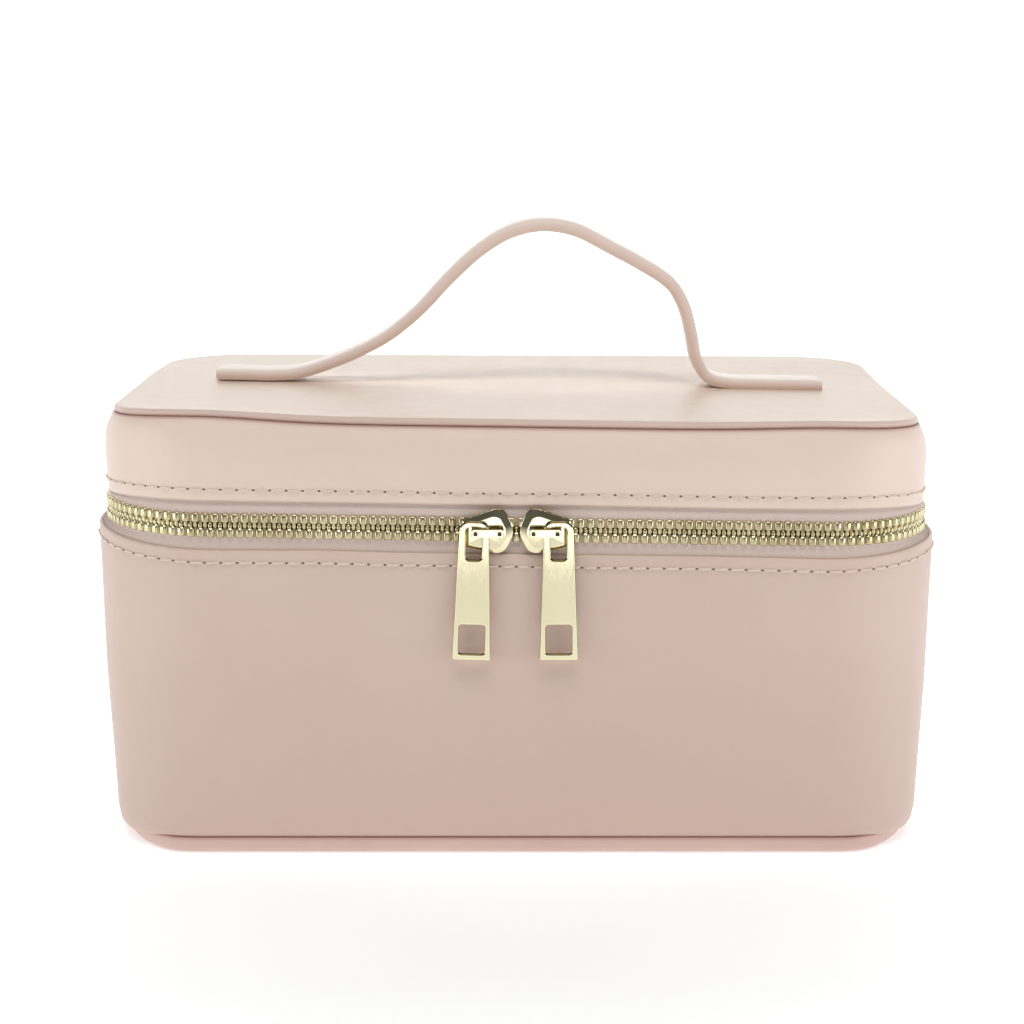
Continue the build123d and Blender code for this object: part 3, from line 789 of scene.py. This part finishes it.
tape_piece("lid_zip_tape", 1, "zip_tape_upper", "lid")
tape_piece("body_zip_tape", -1, "zip_tape_lower", "case_body")

# ---------------------------------------------------------------- zip teeth

chain_width, chain_depth, chain_corner = (v - TAPE * k for v, k in zip(CHAIN_OUTLINE, (1, 1, 0.5)))
TOOTH_PITCH = 2.65
TOOTH_SECTIONS = [
    (-0.78, 0.36, 0.55),
    (-0.55, 0.57, 0.85),
    (0.0, 0.61, 0.95),
    (0.5, 0.5, 0.9),
    (0.8, 0.62, 1.0),
    (1.0, 1.06, 1.2),
    (1.2, 1.15, TOOTH_DEPTH / 2),
    (2.9, 1.15, TOOTH_DEPTH / 2),
    (3.15, 1.09, TOOTH_DEPTH / 2 - 0.1),
    (TOOTH_FAR, 0.9, TOOTH_DEPTH / 2 - 0.4),
]


def chain_line():
    """The chain's middle line, fine enough to place teeth on, open across the back."""
    points, _ = ring(chain_width, chain_depth, chain_corner)
    line = np.column_stack([points, CHAIN_Z - skew(points, CHAIN_Z)])
    return evenly(line, TOOTH_PITCH)


def teeth(name, side, node, body):
    """One row of teeth. Side is 1 for the lid's row, and the two rows alternate along the chain."""
    places, tangents = chain_line()
    if side > 0:
        ahead = np.roll(places, -1, axis=0)
        places = (places + ahead) / 2
        tangents = tangents + np.roll(tangents, -1, axis=0)
        tangents /= np.linalg.norm(tangents, axis=1)[:, None]
    spots = []
    for (x, y, z), tangent in zip(places, tangents):
        if y > 0 and abs(x) < stops_high[0] + 1.2:
            continue
        out = np.array([tangent[1], -tangent[0], 0.0])
        spots.append(((tangent, out, (0, 0, side)), (x, y, z)))
    points, faces = sections_shape(TOOTH_SECTIONS)
    if side < 0:
        faces = flipped(faces)
    piece = merged(name, points, faces, spots, teeth_metal)
    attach(piece, body)
    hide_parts(node)


teeth("lid_zip_teeth", 1, "zip_teeth_upper", "lid")
teeth("body_zip_teeth", -1, "zip_teeth_lower", "case_body")

# ---------------------------------------------------------------- hinge strip


HINGE_TUCKED, HINGE_THICK, HINGE_CREASE = 7.0, 0.55, 0.4


def hinge_piece():
    """A folded leather strip across the back, bending between the body and the lid."""
    half = stops_high[0] - HINGE_END
    columns = 49
    y_chain = CHAIN_OUTLINE[1] / 2
    rows = []
    for z in np.concatenate([
        np.linspace(RIM_Z - HINGE_TUCKED, RIM_Z - 0.4, 5),
        np.linspace(RIM_Z + 0.5, EDGE_Z - 0.5, 15),
        np.linspace(EDGE_Z + 0.4, EDGE_Z + HINGE_TUCKED, 5),
    ]):
        if z < RIM_Z:
            y = outline_at(BODY_LEVELS, z)[1] / 2 - TUCK
        elif z > EDGE_Z:
            y = outline_at(LID_LEVELS, z)[1] / 2 - TUCK
        else:
            crease = math.cos(math.pi * (z - RIM_Z) / (EDGE_Z - RIM_Z) - math.pi / 2)
            y = y_chain + 0.3 + HINGE_CREASE * crease
        rows.append((y, z))
    outer, inner = [], []
    for y, level in rows:
        for k in range(columns):
            x = -half + 2 * half * k / (columns - 1)
            z = level - float(skew(np.array([[x, y]]), level)[0])
            ripple = 0.12 * noise.noise(Vector((x / 9, z / 5, 1.5)))
            outer.append((x, y + ripple, z))
            inner.append((x, y + ripple - HINGE_THICK, z))
    count = len(rows)
    sheet = tube_faces(count, columns, False, False)
    shift = count * columns
    faces = flipped(sheet) + [tuple(v + shift for v in face) for face in sheet]
    rim = list(range(columns))
    rim += [r * columns + columns - 1 for r in range(1, count)]
    rim += [(count - 1) * columns + k for k in range(columns - 2, -1, -1)]
    rim += [r * columns for r in range(count - 2, 0, -1)]
    for a, b in zip(rim, rim[1:] + rim[:1]):
        faces.append((a, b, b + shift, a + shift))
    piece = make_mesh("hinge_leather", outer + inner, faces, leather_edge_in_shade)
    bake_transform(piece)
    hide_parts("hinge_strip")


hinge_piece()

# ---------------------------------------------------------------- stitching

STITCH_PITCH, STITCH_LENGTH, STITCH_INSET = 4.4, 3.5, 3.4
STITCH_SECTIONS = [
    (-0.5, 0.12, 0.12, -0.25),
    (-0.45, 0.27, 0.22, 0.02),
    (-0.3, 0.34, 0.28, 0.16),
    (0.0, 0.35, 0.3, 0.2),
    (0.3, 0.34, 0.28, 0.16),
    (0.45, 0.27, 0.22, 0.02),
    (0.5, 0.12, 0.12, -0.25),
]


def stitch_shape(length):
    """One stitch along X, rising out of the leather along Z and diving back in at both ends."""
    sides = 8
    points = []
    for share, half_width, half_height, lift in STITCH_SECTIONS:
        for c, s in turns(sides):
            points.append((share * length, half_width * c, lift + half_height * s))
    return points, capped_tube(len(STITCH_SECTIONS), sides)


def hole_shape():
    """A needle hole: a shallow dished disc lying on the leather, dark inside with painted shade."""
    sides = 10
    points = [(0.0, 0.0, -0.02)]
    for radius, height in ((0.2, 0.0), (0.42, 0.05)):
        for c, s in turns(sides):
            points.append((0.95 * radius * c, 0.66 * radius * s, height))
    faces = [(0, 1 + k, 1 + (k + 1) % sides) for k in range(sides)]
    for k in range(sides):
        b = (k + 1) % sides
        faces.append((1 + k, 1 + sides + k, 1 + sides + b, 1 + b))
    return points, faces


def seam_row(name, ring_at, z, body, node):
    """Stitches and needle holes round a wall at height z."""
    line, _ = ring_at(z, 0.0)
    places, tangents = evenly(line, STITCH_PITCH)
    stitches, holes = [], []
    for place, tangent in zip(places, tangents):
        out = np.cross(tangent, np.array([0.0, 0.0, 1.0]))
        out /= np.linalg.norm(out)
        up = np.cross(out, tangent)
        half = tangent * STITCH_PITCH / 2
        slant = tangent * math.cos(0.06) + up * math.sin(0.06)
        stitches.append(((slant, up, out), place + half))
        holes.append(((tangent, up, out), place + out * 0.03))
    points, faces = stitch_shape(STITCH_LENGTH)
    row = merged(name, points, faces, stitches, thread)
    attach(row, body)
    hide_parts(node)
    points, faces = hole_shape()
    dots = merged(name + "_holes", points, faces, holes, needle_hole_shade)
    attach(dots, body)


seam_row("body_stitches", body_ring, RIM_Z - STITCH_INSET, "case_body", "body_rim_stitching")
seam_row("lid_stitches", lid_ring, EDGE_Z + STITCH_INSET, "lid", "lid_edge_stitching")

# ---------------------------------------------------------------- handle

STRAP_Y = (handle_low[1] + handle_high[1]) / 2
STRAP_WIDTH = handle_high[1] - handle_low[1]
TAB_Z = TOP_Z + 1.6
STRAP_LEAN = 1.3 * SKEW / HALF_WIDTH  # the strap follows the lid's lean

# The strap's middle line, (x, z). It was measured in the photo, then thinned and adjusted.
STRAP_POINTS = [
    (-89.0, TAB_Z), (-80.0, TAB_Z), (-72.0, TAB_Z), (-64.0, 124.0), (-54.6, 127.2), (-45.5, 131.2),
    (-37.0, 136.2), (-28.5, 143.4), (-20.0, 152.6), (-11.0, 161.0), (-2.0, 166.6), (7.5, 168.9),
    (17.5, 167.6), (28.0, 162.6), (38.0, 157.4), (45.6, 152.4), (49.7, 146.0), (52.0, 138.0),
    (53.6, 130.4), (57.0, 125.0), (63.5, TAB_Z + 0.1), (72.0, TAB_Z), (82.0, TAB_Z), (91.0, TAB_Z),
]


STRAP_EDGE, STRAP_HALF_THICK, STRAP_SWELL = 1.5, 1.65, 0.2


def spline_points(points, steps):
    """A smooth line through points, by Catmull-Rom."""
    line = []
    padded = [points[0]] + points + [points[-1]]
    for i in range(1, len(padded) - 2):
        p0, p1, p2, p3 = (np.array(padded[k], float) for k in (i - 1, i, i + 1, i + 2))
        for s in range(steps):
            t = s / steps
            line.append(0.5 * (
                2 * p1 + (p2 - p0) * t + (2 * p0 - 5 * p1 + 4 * p2 - p3) * t * t
                + (3 * p1 - p0 - 3 * p2 + p3) * t ** 3
            ))
    line.append(np.array(points[-1], float))
    return np.array(line)


def strap():
    """The handle's strap: rounded painted edges, a little thicker at the grip, with soft sideways waves."""
    line = spline_points(STRAP_POINTS, 8)
    tangents = np.gradient(line, axis=0)
    tangents /= np.linalg.norm(tangents, axis=1)[:, None]
    section = []
    half_width = STRAP_WIDTH / 2
    for side, start in ((1, -90), (-1, 90)):
        for k in range(9):
            angle = math.radians(start + 180 * k / 8)
            section.append((side * (half_width - STRAP_EDGE), STRAP_EDGE * math.cos(angle), math.sin(angle)))
    points, seams = [], []
    for i, ((x, z), (tx, tz)) in enumerate(zip(line, tangents)):
        raised = smooth(TAB_Z + 4, TAB_Z + 36, z)
        half_thick = STRAP_HALF_THICK + STRAP_SWELL * raised
        ends = min(i, len(line) - 1 - i)
        pinch = min(1.0, 0.86 + 0.07 * ends)
        shift = 0.8 * raised * math.sin(x / 23)
        for base, bulge, rise in section:
            crown = 0.12 * raised
            y = STRAP_Y + shift + base + bulge
            offset = rise * half_thick * pinch
            points.append((x - tz * offset, y, z + tx * offset + crown * (rise > 0.9) - STRAP_LEAN * x))
            seams.append(0.85 * smooth(0.55, 1.0, abs(bulge) / STRAP_EDGE))
    count = len(section)
    faces = flipped(capped_tube(len(line), count))
    piece = make_mesh("handle_strap", points, faces, leather_strap_lit, attributes={"seam": seams})
    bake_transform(piece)
    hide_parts("handle_grip", "handle_core", "handle_end_left", "handle_end_right")


strap()


def tab_stitches():
    """Stitches along both edges and across the end of each sewn tab."""
    spots = []
    z = TAB_Z + 1.15
    edge = STRAP_WIDTH / 2 - 2.0
    for end_x, inward in ((STRAP_POINTS[0][0], 1), (STRAP_POINTS[-1][0], -1)):
        for way in (-1, 1):
            for i in range(4):
                x = end_x + inward * (3.6 + 4.0 * i)
                level = z - STRAP_LEAN * x
                spots.append((((1, 0, 0), (0, 1, 0), (0, 0, 1)), (x, STRAP_Y + way * edge, level)))
            x = end_x + inward * 1.7
            level = z - STRAP_LEAN * x
            spots.append((((0, 1, 0), (-1, 0, 0), (0, 0, 1)), (x, STRAP_Y + way * edge / 2, level)))
    points, faces = stitch_shape(3.1)
    row = merged("handle_tab_stitches", points, faces, spots, leather_strap_lit)
    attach(row, "lid")
    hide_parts("handle_stitching")


tab_stitches()

# ---------------------------------------------------------------- sliders, bridges, pulls


def flat_shape(name, loops, y_front, thickness, bevel, material, rounds=4):
    """A bevelled plate standing in the front's plane, from outlines of (x, z). Later outlines are holes."""
    curve = bpy.data.curves.new(name, "CURVE")
    curve.dimensions = "2D"
    curve.fill_mode = "BOTH"
    for loop in loops:
        spline = curve.splines.new("POLY")
        spline.points.add(len(loop) - 1)
        for point, (x, z) in zip(spline.points, loop):
            point.co = (x * MM, z * MM, 0, 1)
        spline.use_cyclic_u = True
    curve.extrude = (thickness / 2 - bevel) * MM
    curve.bevel_depth = bevel * MM
    curve.bevel_resolution = rounds
    curve.offset = -bevel * MM
    holder = bpy.data.objects.new(name + "_outline", curve)
    bpy.context.scene.collection.objects.link(holder)
    bpy.context.view_layer.update()
    mesh = bpy.data.meshes.new_from_object(holder.evaluated_get(bpy.context.evaluated_depsgraph_get()))
    bpy.data.objects.remove(holder)
    bpy.data.curves.remove(curve)
    turn = Matrix.Translation((0, (y_front + thickness / 2) * MM, 0)) @ Matrix.Rotation(math.pi / 2, 4, "X")
    mesh.transform(turn)
    mesh.name = name
    mesh.materials.clear()
    mesh.materials.append(material)
    piece = bpy.data.objects.new(name, mesh)
    bpy.context.scene.collection.objects.link(piece)
    sharpen(piece)
    return piece


def sharpen(piece, degrees=32):
    """Smooth shading that keeps edges sharper than an angle."""
    mesh = piece.data
    mesh.polygons.foreach_set("use_smooth", [True] * len(mesh.polygons))
    mesh.set_sharp_from_angle(angle=math.radians(degrees))


def joined(name, pieces):
    """Joins separate meshes into one piece."""
    with bpy.context.temp_override(active_object=pieces[0], selected_editable_objects=pieces):
        bpy.ops.object.join()
    pieces[0].name = name
    pieces[0].data.name = name
    return pieces[0]


def rounded_loop(low, high, radii, steps=6):
    """A rectangle with its own radius at each corner: top right, top left, bottom left, bottom right."""
    (x0, z0), (x1, z1) = low, high
    centres = [
        (x1 - radii[0], z1 - radii[0], 0), (x0 + radii[1], z1 - radii[1], 90),
        (x0 + radii[2], z0 + radii[2], 180), (x1 - radii[3], z0 + radii[3], 270),
    ]
    loop = []
    for (cx, cz, start), radius in zip(centres, radii):
        for k in range(steps + 1):
            angle = math.radians(start + 90 * k / steps)
            loop.append((cx + radius * math.cos(angle), cz + radius * math.sin(angle)))
    return loop


def hull(circles, steps=32):
    """The line round a set of circles: (x, z, radius)."""
    points = []
    for cx, cz, radius in circles:
        points += [(cx + radius * c, cz + radius * s) for c, s in turns(steps)]
    points = sorted(set((round(x, 5), round(z, 5)) for x, z in points))

    def half(ordered):
        chain = []
        for p in ordered:
            while len(chain) > 1 and (
                (chain[-1][0] - chain[-2][0]) * (p[1] - chain[-2][1])
                - (chain[-1][1] - chain[-2][1]) * (p[0] - chain[-2][0])
            ) <= 0:
                chain.pop()
            chain.append(p)
        return chain[:-1]

    return half(points) + half(points[::-1])


SLIDER_LENGTH, TAIL_HIGH, TAIL_LOW, TAIL_ROUND = 13.6, 3.4, 4.5, 1.2
LOBE_ROUND, LOBE_X, LOBE_Z = 3.3, 2.4, 2.8
MOUTH_ROUND, MOUTH_Z = 4.2, 0.4


def slider_plan(x, side, shrink=0.0):
    """Outline of a slider's plate, with its lobes towards the middle of the front."""
    circles = []
    for up in (-1, 1):
        circles.append((x - side * LOBE_X, CHAIN_Z + up * LOBE_Z, LOBE_ROUND - shrink))
        tail = x + side * (SLIDER_LENGTH / 2 - TAIL_ROUND)
        tail_half = TAIL_HIGH if up > 0 else TAIL_LOW
        circles.append((tail, CHAIN_Z + up * (tail_half - TAIL_ROUND), TAIL_ROUND - shrink))
        mouth = x - side * (SLIDER_LENGTH / 2 - MOUTH_ROUND)
        circles.append((mouth, CHAIN_Z + up * MOUTH_Z, MOUTH_ROUND - shrink))
    return hull(circles)


CROWN_PROFILE = [
    (0.97, 0.0), (1.0, 0.06), (1.0, 0.42), (0.985, 0.52), (0.955, 0.58), (0.78, 0.93),
    (0.74, 0.985), (0.7, 1.0),
]


def crowned_plate(name, plan, centre, y_back, y_front):
    """A slider's front plate: upright sides, a broad slope and a flat face lower than the middle."""
    loop = np.array(plan)
    line = np.column_stack([loop[:, 0], np.zeros(len(loop)), loop[:, 1]])
    line, _ = evenly(line, 0.45)
    middle = np.array([centre[0], 0, centre[1]])
    rings = []
    for share, rise in CROWN_PROFILE:
        level = middle + (line - middle) * share
        level[:, 1] = y_back + (y_front - y_back) * rise
        rings.append(level)
    points, faces = closed_in(rings, ())
    piece = make_mesh(name, points, flipped(faces), gold)
    sharpen(piece, 40)
    return piece


def slider_piece(name, side):
    """Front and back plates, the web between them and a lip below the lower teeth."""
    low, high = box_mm(name)
    x = (low[0] + high[0]) / 2
    plan = slider_plan(x, side)
    parts = [
        crowned_plate(name + "_front", plan, (x + side * 0.4, CHAIN_Z - 1.7), low[1] + 1.3, low[1]),
        flat_shape(name + "_back", [plan], high[1] - 1.1, 1.1, 0.4, gold, 4),
    ]
    web_x = x - side * 3.9
    web = rounded_loop((web_x - 1.6, CHAIN_Z - 0.34), (web_x + 1.6, CHAIN_Z + 0.34), (0.2,) * 4, 3)
    parts.append(flat_shape(name + "_web", [web], low[1] + 1.0, high[1] - low[1] - 1.8, 0.05, gold, 1))
    lip = rounded_loop((x - 3.7, CHAIN_Z - 4.5), (x + 3.7, CHAIN_Z - 3.6), (0.3,) * 4, 3)
    parts.append(flat_shape(name + "_lip", [lip], low[1] + 1.0, 1.0, 0.2, gold, 2))
    piece = joined(name + "_gold", parts)
    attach(piece, name)
    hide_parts(name)


def bridge_piece(name, body):
    """The loop staked on a slider: two feet and a bar with two punch marks."""
    low, high = box_mm(name)
    x = (low[0] + high[0]) / 2
    half = (high[0] - low[0]) / 2
    bar = rounded_loop((x - half, low[2]), (x + half, high[2]), (0.6,) * 4)
    marks = []
    for way in (-1, 1):
        marks.append([
            (x + way * (half - 1.2) + 0.42 * math.cos(-a), CHAIN_Z + 0.42 * math.sin(-a))
            for a in np.linspace(0, 2 * math.pi, 13)[:-1]
        ])
    parts = [flat_shape(name + "_bar", [bar] + marks, low[1], 1.2, 0.3, gold, 4)]
    for way in (-1, 1):
        foot_x = x + way * (half - 0.85)
        corners = (foot_x - 0.75, CHAIN_Z - 1.05), (foot_x + 0.75, CHAIN_Z + 1.05)
        foot = rounded_loop(*corners, (0.3,) * 4, 3)
        parts.append(flat_shape(name + "_foot", [foot], low[1] + 1.0, high[1] - low[1] - 0.9, 0.08, gold, 2))
    # A dark gold backing behind the bar, seen through its punch marks: painted shade.
    backing = rounded_loop((x - half + 0.5, CHAIN_Z - 0.6), (x + half - 0.5, CHAIN_Z + 0.6), (0.3,) * 4, 3)
    shade_backing = flat_shape(name + "_pit", [backing], low[1] + 0.55, 0.5, 0.05, gold_shade, 1)
    piece = joined(name + "_gold", parts + [shade_backing])
    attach(piece, body)
    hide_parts(name)


PULL_LEAN = {"pull_left": 1.6, "pull_right": -0.3}  # how each pull happens to hang, in degrees


def pull_piece(name):
    """A long tapered tab with an eye at the top and a square window at the foot."""
    low, high = box_mm(name)
    x = (low[0] + high[0]) / 2
    foot = low[2] - 1.5
    half_bottom = (high[0] - low[0]) / 2 + 0.15
    half_top = half_bottom - 1.3
    outline = rounded_loop((-half_top, foot), (half_top, high[2]), (2.5, 2.5, 0.5, 0.5), 8)
    span = high[2] - foot
    outline = [
        (x + px * (1 + (half_bottom / half_top - 1) * (high[2] - pz) / span), pz) for px, pz in outline
    ]
    eye_top = high[2] - 1.6
    eye = rounded_loop((x - 2.15, eye_top - 8.9), (x + 2.15, eye_top), (1.1,) * 4)
    window = rounded_loop((x - 3.55, foot + 1.7), (x + 3.55, foot + 9.8), (0.8,) * 4)
    thickness = high[1] - low[1]
    loops = [outline, eye[::-1], window[::-1]]
    piece = flat_shape(name + "_gold", loops, low[1], thickness, 0.42, gold, 5)
    pivot = Vector((x * MM, 0, CHAIN_Z * MM))
    lean = Matrix.Rotation(math.radians(PULL_LEAN[name]), 4, "Y")
    piece.data.transform(Matrix.Translation(pivot) @ lean @ Matrix.Translation(-pivot))
    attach(piece, name)
    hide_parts(name)


for end, side in (("left", -1), ("right", 1)):
    slider_piece("slider_" + end, side)
    bridge_piece("bridge_" + end, "slider_" + end)
    pull_piece("pull_" + end)

# ---------------------------------------------------------------- CAD nodes that stay

CARRIED = [(board, "lid_top_board"), (teeth_metal, "zip_stops_lower"), (teeth_metal, "zip_stops_upper")]
for finish, name in CARRIED:
    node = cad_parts[name]
    node.data.materials.clear()
    node.data.materials.append(finish)

# ---------------------------------------------------------------- stage, camera and light


SWEEP_HALF, SWEEP_START, SWEEP_ROUND, SWEEP_TOP = 2.6, 1.0, 0.7, 2.6  # metres


def stage():
    """A pale sweep: a floor that curves up behind the case. It glows, more towards the back and near the
    case: painted light that lifts the case's shadow.
    """
    points = []
    run = [(-2.2, 0.0), (-1.0, 0.0), (0.4, 0.0), (SWEEP_START, 0.0)]
    run += [(SWEEP_START + rise, inset) for inset, rise in quarter_round(SWEEP_ROUND, 12)]
    run.append((SWEEP_START + SWEEP_ROUND, SWEEP_TOP))
    for y, z in run:
        points += [(-SWEEP_HALF, y, z), (SWEEP_HALF, y, z)]
    faces = [(2 * i, 2 * i + 1, 2 * i + 3, 2 * i + 2) for i in range(len(run) - 1)]
    mesh = bpy.data.meshes.new("sweep")
    mesh.from_pydata(points, [], faces)
    mesh.polygons.foreach_set("use_smooth", [True] * len(mesh.polygons))
    material, tree, shader = new_material("pale_sweep")
    vector = place_node(tree)
    reach = tree.nodes.new("ShaderNodeSeparateXYZ")
    tree.links.new(vector, reach.inputs["Vector"])
    near = range_node(tree, reach.outputs["Y"], -0.5, -0.2, 0, 1)
    far = range_node(tree, reach.outputs["Y"], 0.2, 1.0, 0, 0.7)
    mottle = noise_node(tree, vector, 3, 2)
    pale = mix_colours(tree, mottle, (0.92, 0.92, 0.92, 1), (0.94, 0.94, 0.94, 1))
    tree.links.new(mix_colours(tree, near, (0.5, 0.49, 0.48, 1), pale), shader.inputs["Base Color"])
    shader.inputs["Roughness"].default_value = 0.9
    shader.inputs["Specular IOR Level"].default_value = 0.1
    # Painted light: the floor glows, from nothing far in front to most on the backdrop, and near the case
    # this glow lifts its shadow.
    beside = range_node(tree, reach.outputs["Y"], -0.1, 0.0, 0, 0.3)
    around = maths(tree, "ADD", far, beside)
    glow = maths(tree, "ADD", maths(tree, "MULTIPLY", near, 0.3), around)
    tree.links.new(glow, shader.inputs["Emission Strength"])
    shader.inputs["Emission Color"].default_value = (0.92, 0.97, 1, 1)
    mesh.materials.append(material)
    sweep = bpy.data.objects.new("sweep", mesh)
    bpy.context.scene.collection.objects.link(sweep)


CAMERA_PLACE, CAMERA_PITCH = (-0.0012, -0.627, 0.2105), math.radians(11.535)
CAMERA_LENS, CAMERA_SENSOR = 74.4, 36.0


def camera():
    """The camera stands in front, a little above the lid, and looks slightly down."""
    data = bpy.data.cameras.new("camera")
    data.lens, data.sensor_width = CAMERA_LENS, CAMERA_SENSOR
    eye = bpy.data.objects.new("camera", data)
    bpy.context.scene.collection.objects.link(eye)
    tilt = Matrix.Rotation(math.pi / 2 - CAMERA_PITCH, 4, "X")
    eye.matrix_world = Matrix.Translation(CAMERA_PLACE) @ tilt
    bpy.context.scene.camera = eye


def area_light(name, place, target, size, power, colour=(1, 1, 1)):
    data = bpy.data.lights.new(name, "AREA")
    data.shape = "RECTANGLE"
    data.size, data.size_y = size
    data.energy = power
    data.color = colour
    lamp = bpy.data.objects.new(name, data)
    bpy.context.scene.collection.objects.link(lamp)
    lamp.location = place
    lamp.rotation_euler = (Vector(target) - Vector(place)).to_track_quat("-Z", "Y").to_euler()


def lighting():
    """An even studio: a key light above, a low card in front and a box on each side."""
    world = bpy.data.worlds.new("studio")
    world.use_nodes = True
    background = world.node_tree.nodes["Background"]
    background.inputs["Color"].default_value = (1.0, 0.99, 0.98, 1)
    background.inputs["Strength"].default_value = 0.1
    bpy.context.scene.world = world
    area_light("key", (0, -0.55, 1.25), (0, 0, 0.1), (1.0, 0.5), 8.6, (1, 0.99, 0.97))
    area_light("front_card", (0, -0.47, 0.02), (0, -0.08, 0.09), (0.16, 0.16), 0.115)
    area_light("left_box", (-0.5, -0.28, 0.08), (0, -0.05, 0.05), (0.3, 0.26), 0.74)
    area_light("right_box", (0.5, -0.28, 0.08), (0, -0.05, 0.05), (0.3, 0.26), 0.86)


stage()
camera()
lighting()
bpy.context.scene.view_settings.view_transform = "Standard"
